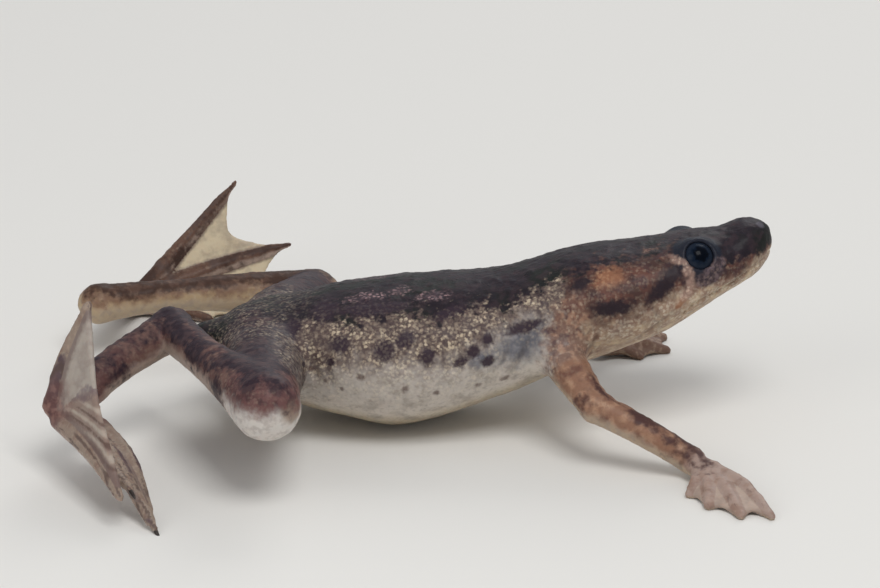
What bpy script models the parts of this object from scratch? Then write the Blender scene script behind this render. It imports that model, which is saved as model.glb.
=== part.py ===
"""African dwarf frog, a still life-size model that walks over the bottom with its left side behind.

The body lies along X with the snout at +X, the frog's left is +Y and the floor is z = 0.
Trunk and head are one loft of rolled oval sections along an axis that curves a little to the
left ahead of the shoulders, parted at the neck. Each limb segment is a round-ended tube
between two joints, parted from the next one by a thin cut at the joint. Hands and feet are
tubes for the fingers and toes, joined by webs. All sizes are in millimetres until MM turns
them to metres.
"""
import math

import bmesh
import bpy
import numpy as np
from mathutils import Vector

MM = 0.001

# Gap between two nodes that meet, and the floor that cuts every low part flat
GAP = 0.3
FLOOR_LEVEL = 0.12

FLOOR_BLOCK_HALF = 60.0
FLOOR_BLOCK_BOTTOM = -3.0

# Trunk and head: the roll of the sections, and how the axis curves and twists ahead of the shoulders
ROLL = math.radians(9)
BEND_START = 6.0
BEND = 0.0063
TWIST = math.radians(0.3)
SQUARENESS = 2.15
NECK_X = 10.2
TRUNK = np.array((
    # x, level of the widest line, half width, half height
    (-15.3, 5.60, 0.02, 0.02),
    (-15.1, 5.55, 0.50, 0.36),
    (-14.4, 5.38, 1.25, 0.80),
    (-13.2, 4.98, 2.45, 1.48),
    (-11.5, 4.68, 3.70, 2.30),
    (-9.0, 4.62, 5.00, 3.18),
    (-6.0, 4.60, 6.00, 3.94),
    (-3.0, 4.51, 6.40, 4.44),
    (0.0, 4.90, 6.25, 4.30),
    (4.0, 5.85, 5.70, 3.80),
    (7.5, 7.14, 5.10, 3.58),
    (9.5, 7.73, 4.95, 3.42),
    (11.5, 8.18, 4.75, 3.16),
    (13.5, 8.73, 4.30, 2.90),
    (15.5, 9.49, 3.60, 2.44),
    (17.0, 10.08, 2.95, 2.12),
    (18.4, 10.65, 2.35, 1.92),
    (19.3, 10.95, 1.78, 1.60),
    (19.85, 11.16, 1.18, 1.07),
    (20.1, 11.24, 0.60, 0.55),
    (20.18, 11.26, 0.02, 0.02),
))
RINGS_PER_STATION = 2
TORSO_SIDES = 28
HEAD_SIDES = 32

# Eyes, lids and nostrils, as x, sideways and up in the rolled section of the head
EYE_X = 15.2
EYE_ASIDE = 2.70
EYE_UP = 1.10
EYE_RADIUS = 1.10
EYE_LOOK = (0.16, 0.88, 0.44)
EYE_SIDES = 18
EYE_ROWS = 11
LID_RING = 1.20
LID_THICK = 0.26
LID_DROP = 0.26
LID_AROUND = 18
LID_THROUGH = 6
NOSTRIL = (19.1, 0.92, 1.18)
NOSTRIL_RADIUS = 0.20
NOSTRIL_SIDES = 6
NOSTRIL_ROWS = 5

# The line of the mouth from its corner to beyond the snout, as x and up in the section, and the lip
MOUTH_LINE = (
    (14.3, -1.80),
    (14.6, -1.54),
    (15.1, -1.38),
    (16.1, -1.28),
    (17.2, -1.20),
    (18.3, -1.05),
    (19.2, -0.80),
    (21.0, -0.22),
)
MOUTH_OPENING = 0.16
MOUTH_DEPTH = 0.32
MOUTH_SLAB_HALF = 6.0
LIP_RISE = 0.24
LIP_RADIUS = 0.22
LIP_SUNK = 0.08
LIP_FRONT_X = 19.75

# Limb joints and the radius there; the first point of each root lies inside the trunk
ARMS = {
    "right": {
        "upper_arm": (((6.6, -2.6, 6.6), 1.60), ((7.7, -5.6, 5.45), 1.35), ((9.33, -8.30, 3.95), 1.02)),
        "forearm": (((9.33, -8.30, 3.95), 1.02), ((12.2, -9.3, 2.70), 0.86), ((15.0, -9.95, 1.15), 0.80)),
        "hand": (((15.0, -9.95, 1.15), 0.80), ((15.9, -11.4, 0.80), 0.78), ((16.4, -12.4, 0.70), 0.50)),
        "fingers": (
            ((15.5, -10.9, 0.90), (15.2, -12.2, 0.75), (14.75, -13.4, 0.28)),
            ((15.8, -11.2, 0.90), (15.9, -13.2, 0.80), (15.85, -15.3, 0.28)),
            ((16.2, -11.2, 0.90), (17.0, -14.0, 0.80), (17.7, -16.8, 0.28)),
            ((16.2, -10.8, 0.95), (18.0, -13.4, 0.95), (19.5, -16.9, 0.28)),
        ),
    },
    "left": {
        "upper_arm": (((6.9, 2.6, 5.9), 1.60), ((6.7, 5.8, 5.0), 1.35), ((6.2, 8.90, 4.20), 1.02)),
        "forearm": (((6.2, 8.90, 4.20), 1.02), ((8.2, 9.7, 2.70), 0.86), ((10.1, 10.05, 1.15), 0.80)),
        "hand": (((10.1, 10.05, 1.15), 0.80), ((11.0, 10.6, 0.85), 0.78), ((11.8, 10.9, 0.75), 0.50)),
        "fingers": (
            ((10.7, 10.2, 0.95), (11.7, 10.0, 0.75), (12.65, 9.85, 0.28)),
            ((10.9, 10.4, 0.95), (12.7, 10.8, 0.85), (14.4, 11.0, 0.28)),
            ((10.8, 10.7, 0.95), (12.6, 12.2, 0.85), (14.3, 13.4, 0.28)),
            ((10.6, 10.9, 0.95), (11.7, 12.9, 0.75), (12.6, 14.6, 0.28)),
        ),
    },
}
LEGS = {
    "right": {
        "thigh": (((-10.9, -1.2, 4.9), 2.30), ((-10.7, -6.0, 5.25), 2.45), ((-10.5, -11.0, 5.8), 2.20),
                  ((-10.2, -14.4, 6.33), 1.95)),
        "shank": (((-10.2, -14.4, 6.33), 1.95), ((-12.0, -11.2, 6.55), 1.55), ((-14.2, -6.8, 6.60), 1.20),
                  ((-16.3, -2.0, 6.55), 1.28)),
        "tarsus": (((-16.3, -2.0, 6.55), 1.28), ((-18.6, -4.4, 5.85), 1.15), ((-20.6, -6.7, 5.05), 1.15),
                   ((-22.2, -8.6, 3.90), 1.20)),
        "foot": (((-22.2, -8.6, 3.90), 1.20), ((-21.7, -9.6, 3.35), 1.00), ((-21.0, -10.6, 2.90), 0.60)),
        "toes": (
            ((-20.3, -9.6, 3.15), (-18.3, -12.8, 2.20), (-16.95, -17.0, 0.30)),
            ((-20.9, -9.8, 3.20), (-19.0, -13.9, 2.35), (-16.6, -18.9, 0.30)),
            ((-21.6, -9.8, 3.20), (-19.9, -13.6, 2.85), (-18.1, -17.3, 2.15)),
            ((-22.7, -9.5, 3.50), (-20.6, -13.9, 3.10), (-18.6, -18.5, 2.10)),
            ((-23.2, -8.9, 4.20), (-22.4, -8.6, 7.20), (-20.9, -8.2, 10.45)),
        ),
    },
    "left": {
        "thigh": (((-10.9, 1.2, 4.6), 2.30), ((-10.0, 5.6, 4.05), 2.35), ((-8.9, 10.2, 3.4), 2.00),
                  ((-8.0, 13.8, 2.95), 1.65)),
        "shank": (((-8.0, 13.8, 2.95), 1.65), ((-12.0, 13.1, 3.40), 1.30), ((-17.0, 11.8, 3.70), 1.00),
                  ((-21.5, 10.5, 3.62), 1.20)),
        "tarsus": (((-21.5, 10.5, 3.62), 1.20), ((-21.1, 13.0, 2.85), 1.10), ((-20.5, 15.6, 1.90), 1.05),
                   ((-19.9, 17.8, 1.15), 1.00)),
        "foot": (((-19.9, 17.8, 1.15), 1.00), ((-19.1, 18.5, 1.15), 0.90), ((-18.0, 19.0, 1.10), 0.55)),
        "toes": (
            ((-19.0, 17.8, 0.85), (-16.8, 17.2, 0.70), (-14.6, 16.4, 0.30)),
            ((-18.8, 18.1, 0.90), (-15.4, 18.3, 0.75), (-12.0, 18.2, 0.30)),
            ((-18.7, 18.5, 1.00), (-14.2, 19.6, 0.95), (-9.9, 20.3, 0.30)),
            ((-18.6, 18.8, 1.40), (-14.4, 20.2, 2.60), (-9.8, 21.0, 3.85)),
            ((-18.9, 18.8, 1.80), (-16.1, 20.6, 4.70), (-13.2, 22.0, 7.75)),
        ),
    },
}
FINGER_RADII = (0.50, 0.37, 0.24)
TOE_RADII = (0.60, 0.43, 0.25)
CLAW_TOES = 3
CLAW_LENGTH = 0.85
CLAW_RADIUS = 0.20
CLAW_ROOT = 0.3
CLAW_BEND = 0.08
PALM_FLATTEN = 0.85

# Webs: how far each reaches along its digits and how deep its free edge curves in
WEB_THICKNESS = 0.5
WEB_CELLS = 4
FINGER_WEBS = ((0.96, 0.09),) * 3
TOE_WEBS = {
    "right": ((0.92, 0.10), (0.92, 0.10), (0.92, 0.10), (0.97, 0.12)),
    "left": ((0.92, 0.10), (0.92, 0.10), (0.92, 0.10), (0.88, 0.17)),
}

# Sides of the tubes and the angles at which their round ends have rings
LIMB_SIDES = 12
DIGIT_SIDES = 6
LIMB_CAP = (28, 55, 80)
DIGIT_CAP = (38, 75)
CLAW_CAP = (60,)

# Colours of the skin, as sRGB
DORSAL = (0.25, 0.20, 0.21)
FLANK = (0.45, 0.38, 0.34)
LIMB = (0.42, 0.29, 0.26)
WEB = (0.55, 0.43, 0.37)
EYE = (0.03, 0.04, 0.07)


def linear(colour):
    """sRGB components as linear ones."""
    return tuple(c / 12.92 if c <= 0.04045 else ((c + 0.055) / 1.055) ** 2.4 for c in colour)


def skin_material(name, colour, roughness):
    """A Principled material in one colour."""
    material = bpy.data.materials.new(name)
    material.use_nodes = True
    shader = material.node_tree.nodes["Principled BSDF"]
    shader.inputs["Base Color"].default_value = (*linear(colour), 1.0)
    shader.inputs["Roughness"].default_value = roughness
    shader.inputs["Metallic"].default_value = 0.0
    return material


def spline(rows, steps):
    """A Catmull-Rom curve through the rows, with a number of steps between each two of them."""
    rows = np.asarray(rows, dtype=float)
    padded = np.vstack((2 * rows[0] - rows[1], rows, 2 * rows[-1] - rows[-2]))
    t = np.linspace(0.0, 1.0, steps, endpoint=False)[:, None]
    curve = []
    for p0, p1, p2, p3 in zip(padded, padded[1:], padded[2:], padded[3:]):
        curve.append(0.5 * (2 * p1 + (p2 - p0) * t + (2 * p0 - 5 * p1 + 4 * p2 - p3) * t ** 2
                            + (3 * p1 - p0 - 3 * p2 + p3) * t ** 3))
    return np.vstack(curve + [rows[-1:]])


def body_mesh(name, points, faces):
    """A mesh in metres from points in millimetres, with its faces turned outwards."""
    bm = bmesh.new()
    corners = [bm.verts.new(Vector(point) * MM) for point in points]
    for face in faces:
        bm.faces.new([corners[i] for i in face])
    bmesh.ops.recalc_face_normals(bm, faces=bm.faces)
    bmesh.ops.triangulate(bm, faces=bm.faces)
    mesh = bpy.data.meshes.new(name)
    bm.to_mesh(mesh)
    bm.free()
    return mesh


def new_object(name, mesh, material=None):
    """An object in the scene that holds the mesh."""
    obj = bpy.data.objects.new(name, mesh)
    bpy.context.scene.collection.objects.link(obj)
    if material:
        mesh.materials.append(material)
    return obj


def loft(name, rings):
    """A closed body through rings of equally many points, with its two ends filled."""
    count = len(rings[0])
    faces = []
    for i in range(len(rings) - 1):
        for j in range(count):
            k = (j + 1) % count
            faces.append((i * count + j, i * count + k, (i + 1) * count + k, (i + 1) * count + j))
    last = (len(rings) - 1) * count
    faces.append(tuple(range(count - 1, -1, -1)))
    faces.append(tuple(range(last, last + count)))
    return new_object(name, body_mesh(name, np.vstack(rings), faces))


def ball(name, centre, radius, sides, rows):
    """A closed ball."""
    rings = []
    for i in range(1, rows):
        angle = math.pi * i / rows
        turn = np.linspace(0, 2 * math.pi, sides, endpoint=False)
        ring = np.stack((np.cos(turn) * math.sin(angle), np.sin(turn) * math.sin(angle),
                         np.full(sides, math.cos(angle))), axis=1)
        rings.append(np.asarray(centre) + radius * ring)
    return loft(name, rings)


CURVE = spline(TRUNK, RINGS_PER_STATION)


def section_frame(x):
    """The middle of the rolled section at x, with its sideways and its upward direction."""
    lead = max(x - BEND_START, 0.0)
    slope = 2 * BEND * lead
    roll = ROLL + TWIST * lead
    middle = np.array((x, BEND * lead ** 2, np.interp(x, CURVE[:, 0], CURVE[:, 1])))
    aside = np.array((-slope * math.cos(roll), math.cos(roll), -math.sin(roll)))
    up = np.array((-slope * math.sin(roll), math.sin(roll), math.cos(roll)))
    return middle, aside, up


def section_point(x, aside, up):
    """The point of the section at x, given sideways to the left and up from its middle."""
    middle, left, top = section_frame(x)
    return middle + aside * left + up * top


def section_size(x):
    """Half the width and half the height of the section at x."""
    return np.interp(x, CURVE[:, 0], CURVE[:, 2]), np.interp(x, CURVE[:, 0], CURVE[:, 3])


def section_ring(x, sides, grow):
    """The oval ring of the trunk at x."""
    half_width, half_height = section_size(x)
    middle, left, top = section_frame(x)
    turn = np.linspace(0, 2 * math.pi, sides, endpoint=False)
    power = 2 / SQUARENESS
    aside = (half_width + grow) * np.sign(np.cos(turn)) * np.abs(np.cos(turn)) ** power
    up = (half_height + grow) * np.sign(np.sin(turn)) * np.abs(np.sin(turn)) ** power
    return middle + aside[:, None] * left + up[:, None] * top


def trunk(name, start, end, sides, grow=0.0):
    """The part of the trunk and head between two places along X."""
    margin = 0.05
    places = [start] + [x for x in CURVE[:, 0] if start + margin < x < end - margin] + [end]
    return loft(name, [section_ring(x, sides, grow) for x in places])


def tube(name, points, radii, sides, cap, flatten=1.0, steps=3):
    """A round-ended tube along a smooth path, squeezed in height by a factor."""
    path = spline(np.column_stack((points, radii)), steps)
    centres = path[:, :3]
    sizes = path[:, 3]
    tangents = np.gradient(centres, axis=0)
    tangents /= np.linalg.norm(tangents, axis=1)[:, None]
    turn = np.linspace(0, 2 * math.pi, sides, endpoint=False)
    rings = []
    for place, (centre, size, along) in enumerate(zip(centres, sizes, tangents)):
        side = np.cross(along, (0.0, 0.0, 1.0))
        if np.linalg.norm(side) < 0.2:
            side = np.cross(along, (0.0, 1.0, 0.0))
        side /= np.linalg.norm(side)
        top = np.cross(side, along)
        circle = np.cos(turn)[:, None] * side + np.sin(turn)[:, None] * top * flatten
        if place == 0:
            for angle in reversed(cap):
                a = math.radians(angle)
                rings.append(centre - along * size * math.sin(a) + circle * size * math.cos(a))
        rings.append(centre + circle * size)
        if place == len(centres) - 1:
            for angle in cap:
                a = math.radians(angle)
                rings.append(centre + along * size * math.sin(a) + circle * size * math.cos(a))
    return loft(name, rings)


def along_digit(digit, t):
    """Points at the shares t of a digit's length."""
    curve = spline(digit, 8)
    steps = np.concatenate(((0.0,), np.cumsum(np.linalg.norm(np.diff(curve, axis=0), axis=1))))
    return np.stack([np.interp(t, steps / steps[-1], curve[:, i]) for i in range(3)], axis=1)


def web(name, first, second, reach, scallop):
    """The web between two digits, with a free edge that curves in."""
    wide = WEB_CELLS + 1
    s = np.linspace(0.0, 1.0, wide)
    edge = reach - scallop * np.sin(math.pi * s)
    sheet = np.empty((wide, wide, 3))
    for i in range(wide):
        a = along_digit(first, s * edge[i])
        b = along_digit(second, s * edge[i])
        sheet[i] = a + (b - a) * s[i]
    normal = np.cross(np.gradient(sheet, axis=0), np.gradient(sheet, axis=1))
    normal /= np.maximum(np.linalg.norm(normal, axis=2, keepdims=True), 1e-9)
    mean = normal[:, 1:].mean(axis=(0, 1))
    normal[:, 0] = mean / np.linalg.norm(mean)
    half = WEB_THICKNESS / 2
    points = np.vstack(((sheet + half * normal).reshape(-1, 3), (sheet - half * normal).reshape(-1, 3)))
    lower = wide * wide
    faces = []
    for i in range(WEB_CELLS):
        for j in range(WEB_CELLS):
            a = i * wide + j
            b = a + wide
            for face in ((a, b, b + 1), (a, b + 1, a + 1)):
                faces.append(face)
                faces.append(tuple(lower + corner for corner in reversed(face)))
    border = [i * wide for i in range(wide)]
    border += [WEB_CELLS * wide + j for j in range(1, wide)]
    border += [i * wide + WEB_CELLS for i in range(WEB_CELLS - 1, -1, -1)]
    border += list(range(WEB_CELLS - 1, 0, -1))
    for a, b in zip(border, border[1:] + border[:1]):
        faces.append((b, a, lower + a, lower + b))
    return new_object(name, body_mesh(name, points, faces))


def apply_boolean(obj, others, operation):
    """Joins the others to an object, or cuts them from it, and removes them."""
    group = bpy.data.collections.new(obj.name + "_pieces")
    for other in others:
        group.objects.link(other)
    modifier = obj.modifiers.new(operation.lower(), "BOOLEAN")
    modifier.operation = operation
    modifier.solver = "EXACT"
    modifier.operand_type = "COLLECTION"
    modifier.collection = group
    depsgraph = bpy.context.evaluated_depsgraph_get()
    mesh = bpy.data.meshes.new_from_object(obj.evaluated_get(depsgraph))
    obj.modifiers.remove(modifier)
    old = obj.data
    obj.data = mesh
    bpy.data.meshes.remove(old)
    for other in others:
        bpy.data.objects.remove(other)
    bpy.data.collections.remove(group)
    keep_largest(obj)


def keep_largest(obj):
    """Leaves the largest closed surface of an object."""
    bm = bmesh.new()
    bm.from_mesh(obj.data)
    bmesh.ops.triangulate(bm, faces=bm.faces)
    left = set(bm.verts)
    surfaces = []
    while left:
        queue = [left.pop()]
        found = set(queue)
        while queue:
            for edge in queue.pop().link_edges:
                for vert in edge.verts:
                    if vert in left:
                        left.discard(vert)
                        found.add(vert)
                        queue.append(vert)
        surfaces.append(found)
    largest = max(surfaces, key=lambda found: span(found))
    bmesh.ops.delete(bm, geom=[vert for vert in bm.verts if vert not in largest], context="VERTS")
    bm.to_mesh(obj.data)
    bm.free()


def span(verts):
    """The diagonal of the box round some vertices."""
    places = np.array([vert.co for vert in verts])
    return float(np.linalg.norm(places.max(axis=0) - places.min(axis=0)))


def part_at(obj, joint, normal):
    """Cuts an object at a plane through a joint, half a gap back, keeping the side of the normal."""
    bm = bmesh.new()
    bm.from_mesh(obj.data)
    normal = Vector(normal).normalized()
    place = (Vector(joint) + normal * GAP / 2) * MM
    geometry = list(bm.verts) + list(bm.edges) + list(bm.faces)
    bmesh.ops.bisect_plane(bm, geom=geometry, plane_co=place, plane_no=normal, clear_inner=True)
    open_edges = [edge for edge in bm.edges if edge.is_boundary]
    bmesh.ops.holes_fill(bm, edges=open_edges, sides=0)
    bmesh.ops.triangulate(bm, faces=bm.faces)
    bmesh.ops.recalc_face_normals(bm, faces=bm.faces)
    bm.to_mesh(obj.data)
    bm.free()


def parting_normal(before, joint, after):
    """The normal of the plane that halves the bend at a joint, pointing back to the part before it."""
    back = (Vector(before) - Vector(joint)).normalized()
    ahead = (Vector(after) - Vector(joint)).normalized()
    return (back - ahead).normalized()


def limb_segment(name, table, flatten=1.0, grow=0.0):
    """One round-ended segment of a limb from its joints and radii."""
    points = [row[0] for row in table]
    radii = [row[1] + grow for row in table]
    return tube(name, points, radii, LIMB_SIDES, LIMB_CAP, flatten)


def claw(name, digit):
    """A pointed claw at the tip of a toe, bent a little downwards."""
    tip = Vector(digit[-1])
    ahead = (tip - Vector(digit[-2])).normalized()
    bend = Vector((0, 0, -CLAW_BEND))
    points = (tip - ahead * CLAW_ROOT, tip + ahead * CLAW_LENGTH / 2, tip + ahead * CLAW_LENGTH + bend)
    radii = (CLAW_RADIUS, CLAW_RADIUS * 0.8, CLAW_RADIUS * 0.3)
    return tube(name, points, radii, DIGIT_SIDES, CLAW_CAP, steps=1)


def extremity(name, palm, digits, radii, web_shapes, claws):
    """A hand or foot: its parted palm, its digits and its webs joined to one body."""
    pieces = []
    for number, digit in enumerate(digits):
        pieces.append(tube(f"{name}_digit_{number}", digit, radii, DIGIT_SIDES, DIGIT_CAP))
        if number < claws:
            pieces.append(claw(f"{name}_claw_{number}", digit))
    for number, (first, second, shape) in enumerate(zip(digits, digits[1:], web_shapes)):
        pieces.append(web(f"{name}_web_{number}", first, second, *shape))
    apply_boolean(palm, pieces, "UNION")


def floor_cut(obj):
    """Cuts a low part flat at the floor."""
    size = FLOOR_BLOCK_HALF
    rings = []
    for z in (FLOOR_BLOCK_BOTTOM, FLOOR_LEVEL):
        rings.append(np.array(((-size, -size, z), (size, -size, z), (size, size, z), (-size, size, z))))
    apply_boolean(obj, [loft("floor_block", rings)], "DIFFERENCE")


def eye_centre(side):
    """The middle of an eye; side is -1 on the right and 1 on the left."""
    return section_point(EYE_X, side * EYE_ASIDE, EYE_UP)


def eye_axis(side):
    """The direction in which an eye looks."""
    ahead, aside, up = EYE_LOOK
    left, top = section_frame(EYE_X)[1:]
    return Vector(np.array((ahead, 0.0, 0.0)) + side * aside * left + up * top).normalized()


def lid(name, side):
    """The raised rim of skin round an eye."""
    axis = eye_axis(side)
    centre = Vector(eye_centre(side)) + axis * LID_DROP
    first = axis.orthogonal().normalized()
    second = axis.cross(first)
    points = []
    faces = []
    for i in range(LID_AROUND):
        turn = 2 * math.pi * i / LID_AROUND
        outward = first * math.cos(turn) + second * math.sin(turn)
        for j in range(LID_THROUGH):
            small = 2 * math.pi * j / LID_THROUGH
            reach = LID_RING + LID_THICK * math.cos(small)
            points.append(centre + outward * reach + axis * LID_THICK * math.sin(small))
            k, m = (i + 1) % LID_AROUND, (j + 1) % LID_THROUGH
            a, b = i * LID_THROUGH, k * LID_THROUGH
            faces.append((a + j, b + j, b + m, a + m))
    return new_object(name, body_mesh(name, points, faces))


def lip(name, side):
    """The rounded edge of the upper lip on one side, over the line of the mouth."""
    points = []
    for x, up in MOUTH_LINE[1:-1] + ((LIP_FRONT_X, np.interp(LIP_FRONT_X, *np.transpose(MOUTH_LINE))),):
        half_width, half_height = section_size(x)
        rise = up + LIP_RISE
        aside = half_width * (1 - (abs(rise) / half_height) ** SQUARENESS) ** (1 / SQUARENESS) - LIP_SUNK
        points.append(section_point(x, side * aside, rise))
    return tube(name, points, [LIP_RADIUS] * len(points), DIGIT_SIDES, DIGIT_CAP)


def mouth_slot(name):
    """The thin curved slab along the line of the mouth, without the middle of the head."""
    rings = []
    for aside in (-MOUTH_SLAB_HALF, MOUTH_SLAB_HALF):
        upper = [section_point(x, aside, up + MOUTH_OPENING / 2) for x, up in MOUTH_LINE]
        lower = [section_point(x, aside, up - MOUTH_OPENING / 2) for x, up in reversed(MOUTH_LINE)]
        rings.append(np.array(upper + lower))
    slab = loft(name, rings)
    core = trunk(name + "_core", NECK_X - 1.0, CURVE[-3, 0], HEAD_SIDES, -MOUTH_DEPTH)
    apply_boolean(slab, [core], "DIFFERENCE")
    return slab


def make_head(material):
    """Head with lids, lips, eye sockets, nostrils and the line of the mouth."""
    head = trunk("head", NECK_X + GAP / 2, CURVE[-1, 0], HEAD_SIDES)
    raised = []
    cutters = []
    x, aside, up = NOSTRIL
    for name, side in (("right", -1), ("left", 1)):
        raised += [lid(f"lid_{name}", side), lip(f"lip_{name}", side)]
        cutters.append(ball(f"socket_{name}", eye_centre(side), EYE_RADIUS + GAP, EYE_SIDES, EYE_ROWS))
        place = section_point(x, side * aside, up)
        cutters.append(ball(f"nostril_{name}", place, NOSTRIL_RADIUS, NOSTRIL_SIDES, NOSTRIL_ROWS))
    apply_boolean(head, raised, "UNION")
    apply_boolean(head, cutters, "DIFFERENCE")
    apply_boolean(head, [mouth_slot("mouth_slot")], "DIFFERENCE")
    head.data.materials.append(material)
    return head


def make_eyes(material):
    """The two eyes, each a ball in its socket."""
    eyes = []
    for name, side in (("eye_right", -1), ("eye_left", 1)):
        eye = ball(name, eye_centre(side), EYE_RADIUS, EYE_SIDES, EYE_ROWS)
        eye.data.materials.append(material)
        eyes.append(eye)
    return eyes


def make_torso(material):
    """Torso from the neck to the vent, flat where the belly rests."""
    torso = trunk("torso", CURVE[0, 0], NECK_X - GAP / 2, TORSO_SIDES)
    floor_cut(torso)
    torso.data.materials.append(material)
    return torso


def make_limb(side, tables, names, digit_key, radii, web_shapes, claws, material, web_material):
    """The segments of one limb, parted at their joints and from the torso."""
    segments = [limb_segment(f"{name}_{side}", tables[name]) for name in names[:-1]]
    segments.append(limb_segment(f"{names[-1]}_{side}", tables[names[-1]], PALM_FLATTEN))
    for i in range(len(segments) - 1):
        joint = tables[names[i]][-1][0]
        before = tables[names[i]][0][0]
        after = tables[names[i + 1]][-1][0]
        normal = parting_normal(before, joint, after)
        part_at(segments[i], joint, normal)
        part_at(segments[i + 1], joint, -normal)
    last = segments[-1]
    extremity(last.name, last, tables[digit_key], radii, web_shapes, claws)
    clearance = limb_segment("clearance", tables[names[-2]], 1.0, GAP)
    part_at(clearance, joint, normal)
    apply_boolean(last, [clearance], "DIFFERENCE")
    floor_cut(last)
    torso_clearance = trunk("torso_clearance", CURVE[0, 0], NECK_X, TORSO_SIDES, GAP)
    apply_boolean(segments[0], [torso_clearance], "DIFFERENCE")
    for segment in segments:
        segment.data.materials.append(web_material if segment is last else material)
    return segments


def rest_on_origin(objects):
    """Hangs every object on one empty that puts the middle of the footprint at the origin."""
    corners = np.array([obj.matrix_world @ vert.co for obj in objects for vert in obj.data.vertices])
    low = corners.min(axis=0)
    high = corners.max(axis=0)
    frog = bpy.data.objects.new("frog", None)
    bpy.context.scene.collection.objects.link(frog)
    frog.location = (-(low[0] + high[0]) / 2, -(low[1] + high[1]) / 2, -low[2])
    for obj in objects:
        obj.parent = frog


def main():
    """Builds the frog."""
    for obj in list(bpy.data.objects):
        bpy.data.objects.remove(obj)
    dorsal = skin_material("skin_head", DORSAL, 0.45)
    flank = skin_material("skin_torso", FLANK, 0.45)
    limb = skin_material("skin_limb", LIMB, 0.45)
    webbed = skin_material("skin_web", WEB, 0.40)
    objects = [make_head(dorsal), make_torso(flank)]
    objects += make_eyes(skin_material("eye", EYE, 0.08))
    for side in ("right", "left"):
        objects += make_limb(side, ARMS[side], ("upper_arm", "forearm", "hand"), "fingers", FINGER_RADII,
                             FINGER_WEBS, 0, limb, webbed)
        objects += make_limb(side, LEGS[side], ("thigh", "shank", "tarsus", "foot"), "toes", TOE_RADII,
                             TOE_WEBS[side], CLAW_TOES, limb, webbed)
    for obj in objects:
        obj.data.shade_smooth()
        obj.data.set_sharp_from_angle(angle=math.radians(40))
    rest_on_origin(objects)


main()
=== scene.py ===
"""African dwarf frog, a still life-size model: its skin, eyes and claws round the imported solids.

One seamless skin stands for every node of flesh. It is the zero surface of a field of distances,
worked out on a box of points from the trunk, the limbs, the digits and the webs, and each of its
points carries the markings as plain numbers for the skin's material. Eyes and claws are pieces of
their own. All shapes are worked out in millimetres in the frog's own frame, with the snout at +X
and the frog's left at +Y, and are moved onto the solids when they become meshes.
"""
import logging
import math
from dataclasses import dataclass, field
from enum import Enum

import bpy
import numpy as np
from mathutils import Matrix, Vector


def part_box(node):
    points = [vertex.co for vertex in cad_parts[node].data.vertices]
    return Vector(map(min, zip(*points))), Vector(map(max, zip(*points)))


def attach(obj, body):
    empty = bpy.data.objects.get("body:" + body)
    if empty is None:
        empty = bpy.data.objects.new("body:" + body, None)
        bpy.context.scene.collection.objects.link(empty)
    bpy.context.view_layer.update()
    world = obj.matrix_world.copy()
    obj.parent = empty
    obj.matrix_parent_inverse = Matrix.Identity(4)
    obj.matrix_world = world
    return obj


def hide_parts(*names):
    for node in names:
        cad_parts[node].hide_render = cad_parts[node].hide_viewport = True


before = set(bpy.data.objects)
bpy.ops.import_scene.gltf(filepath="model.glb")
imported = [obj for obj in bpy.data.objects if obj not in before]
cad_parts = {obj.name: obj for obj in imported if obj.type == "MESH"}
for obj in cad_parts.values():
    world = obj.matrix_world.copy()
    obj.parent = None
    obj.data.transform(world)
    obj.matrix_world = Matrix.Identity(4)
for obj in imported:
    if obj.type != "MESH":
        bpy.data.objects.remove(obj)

Array = np.ndarray
Point = tuple[float, float, float]

log = logging.getLogger("frog")

MM = 0.001
FAR = 3.0  # the field's value where no form has been added yet, in mm
FLOOR_LEVEL = 0.12  # the floor's height in the frog's own frame, in mm


class Side(Enum):
    """The two sides of the frog; the value is the sign of Y."""

    RIGHT = -1
    LEFT = 1

    @property
    def word(self) -> str:
        """The side's name as it stands in the names of nodes."""
        return self.name.lower()


# Trunk and head: x, level of the widest line, half width, half height
TRUNK_ROWS = (
    (-15.3, 5.60, 0.02, 0.02),
    (-15.1, 5.55, 0.50, 0.36),
    (-14.4, 5.38, 1.25, 0.80),
    (-13.2, 4.98, 2.45, 1.48),
    (-11.5, 4.68, 3.70, 2.30),
    (-9.0, 4.62, 5.00, 3.18),
    (-6.0, 4.60, 6.00, 3.94),
    (-3.0, 4.51, 6.40, 4.44),
    (0.0, 4.90, 6.25, 4.30),
    (4.0, 5.85, 5.70, 3.80),
    (7.5, 7.14, 5.10, 3.58),
    (9.5, 7.73, 4.95, 3.42),
    (11.5, 8.18, 4.75, 3.16),
    (13.5, 8.73, 4.30, 2.90),
    (15.5, 9.49, 3.60, 2.44),
    (17.0, 10.00, 2.95, 2.04),
    (18.4, 10.65, 2.35, 1.92),
    (19.3, 10.95, 1.78, 1.60),
    (19.85, 11.16, 1.18, 1.07),
    (20.1, 11.24, 0.60, 0.55),
    (20.18, 11.26, 0.02, 0.02),
)

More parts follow.
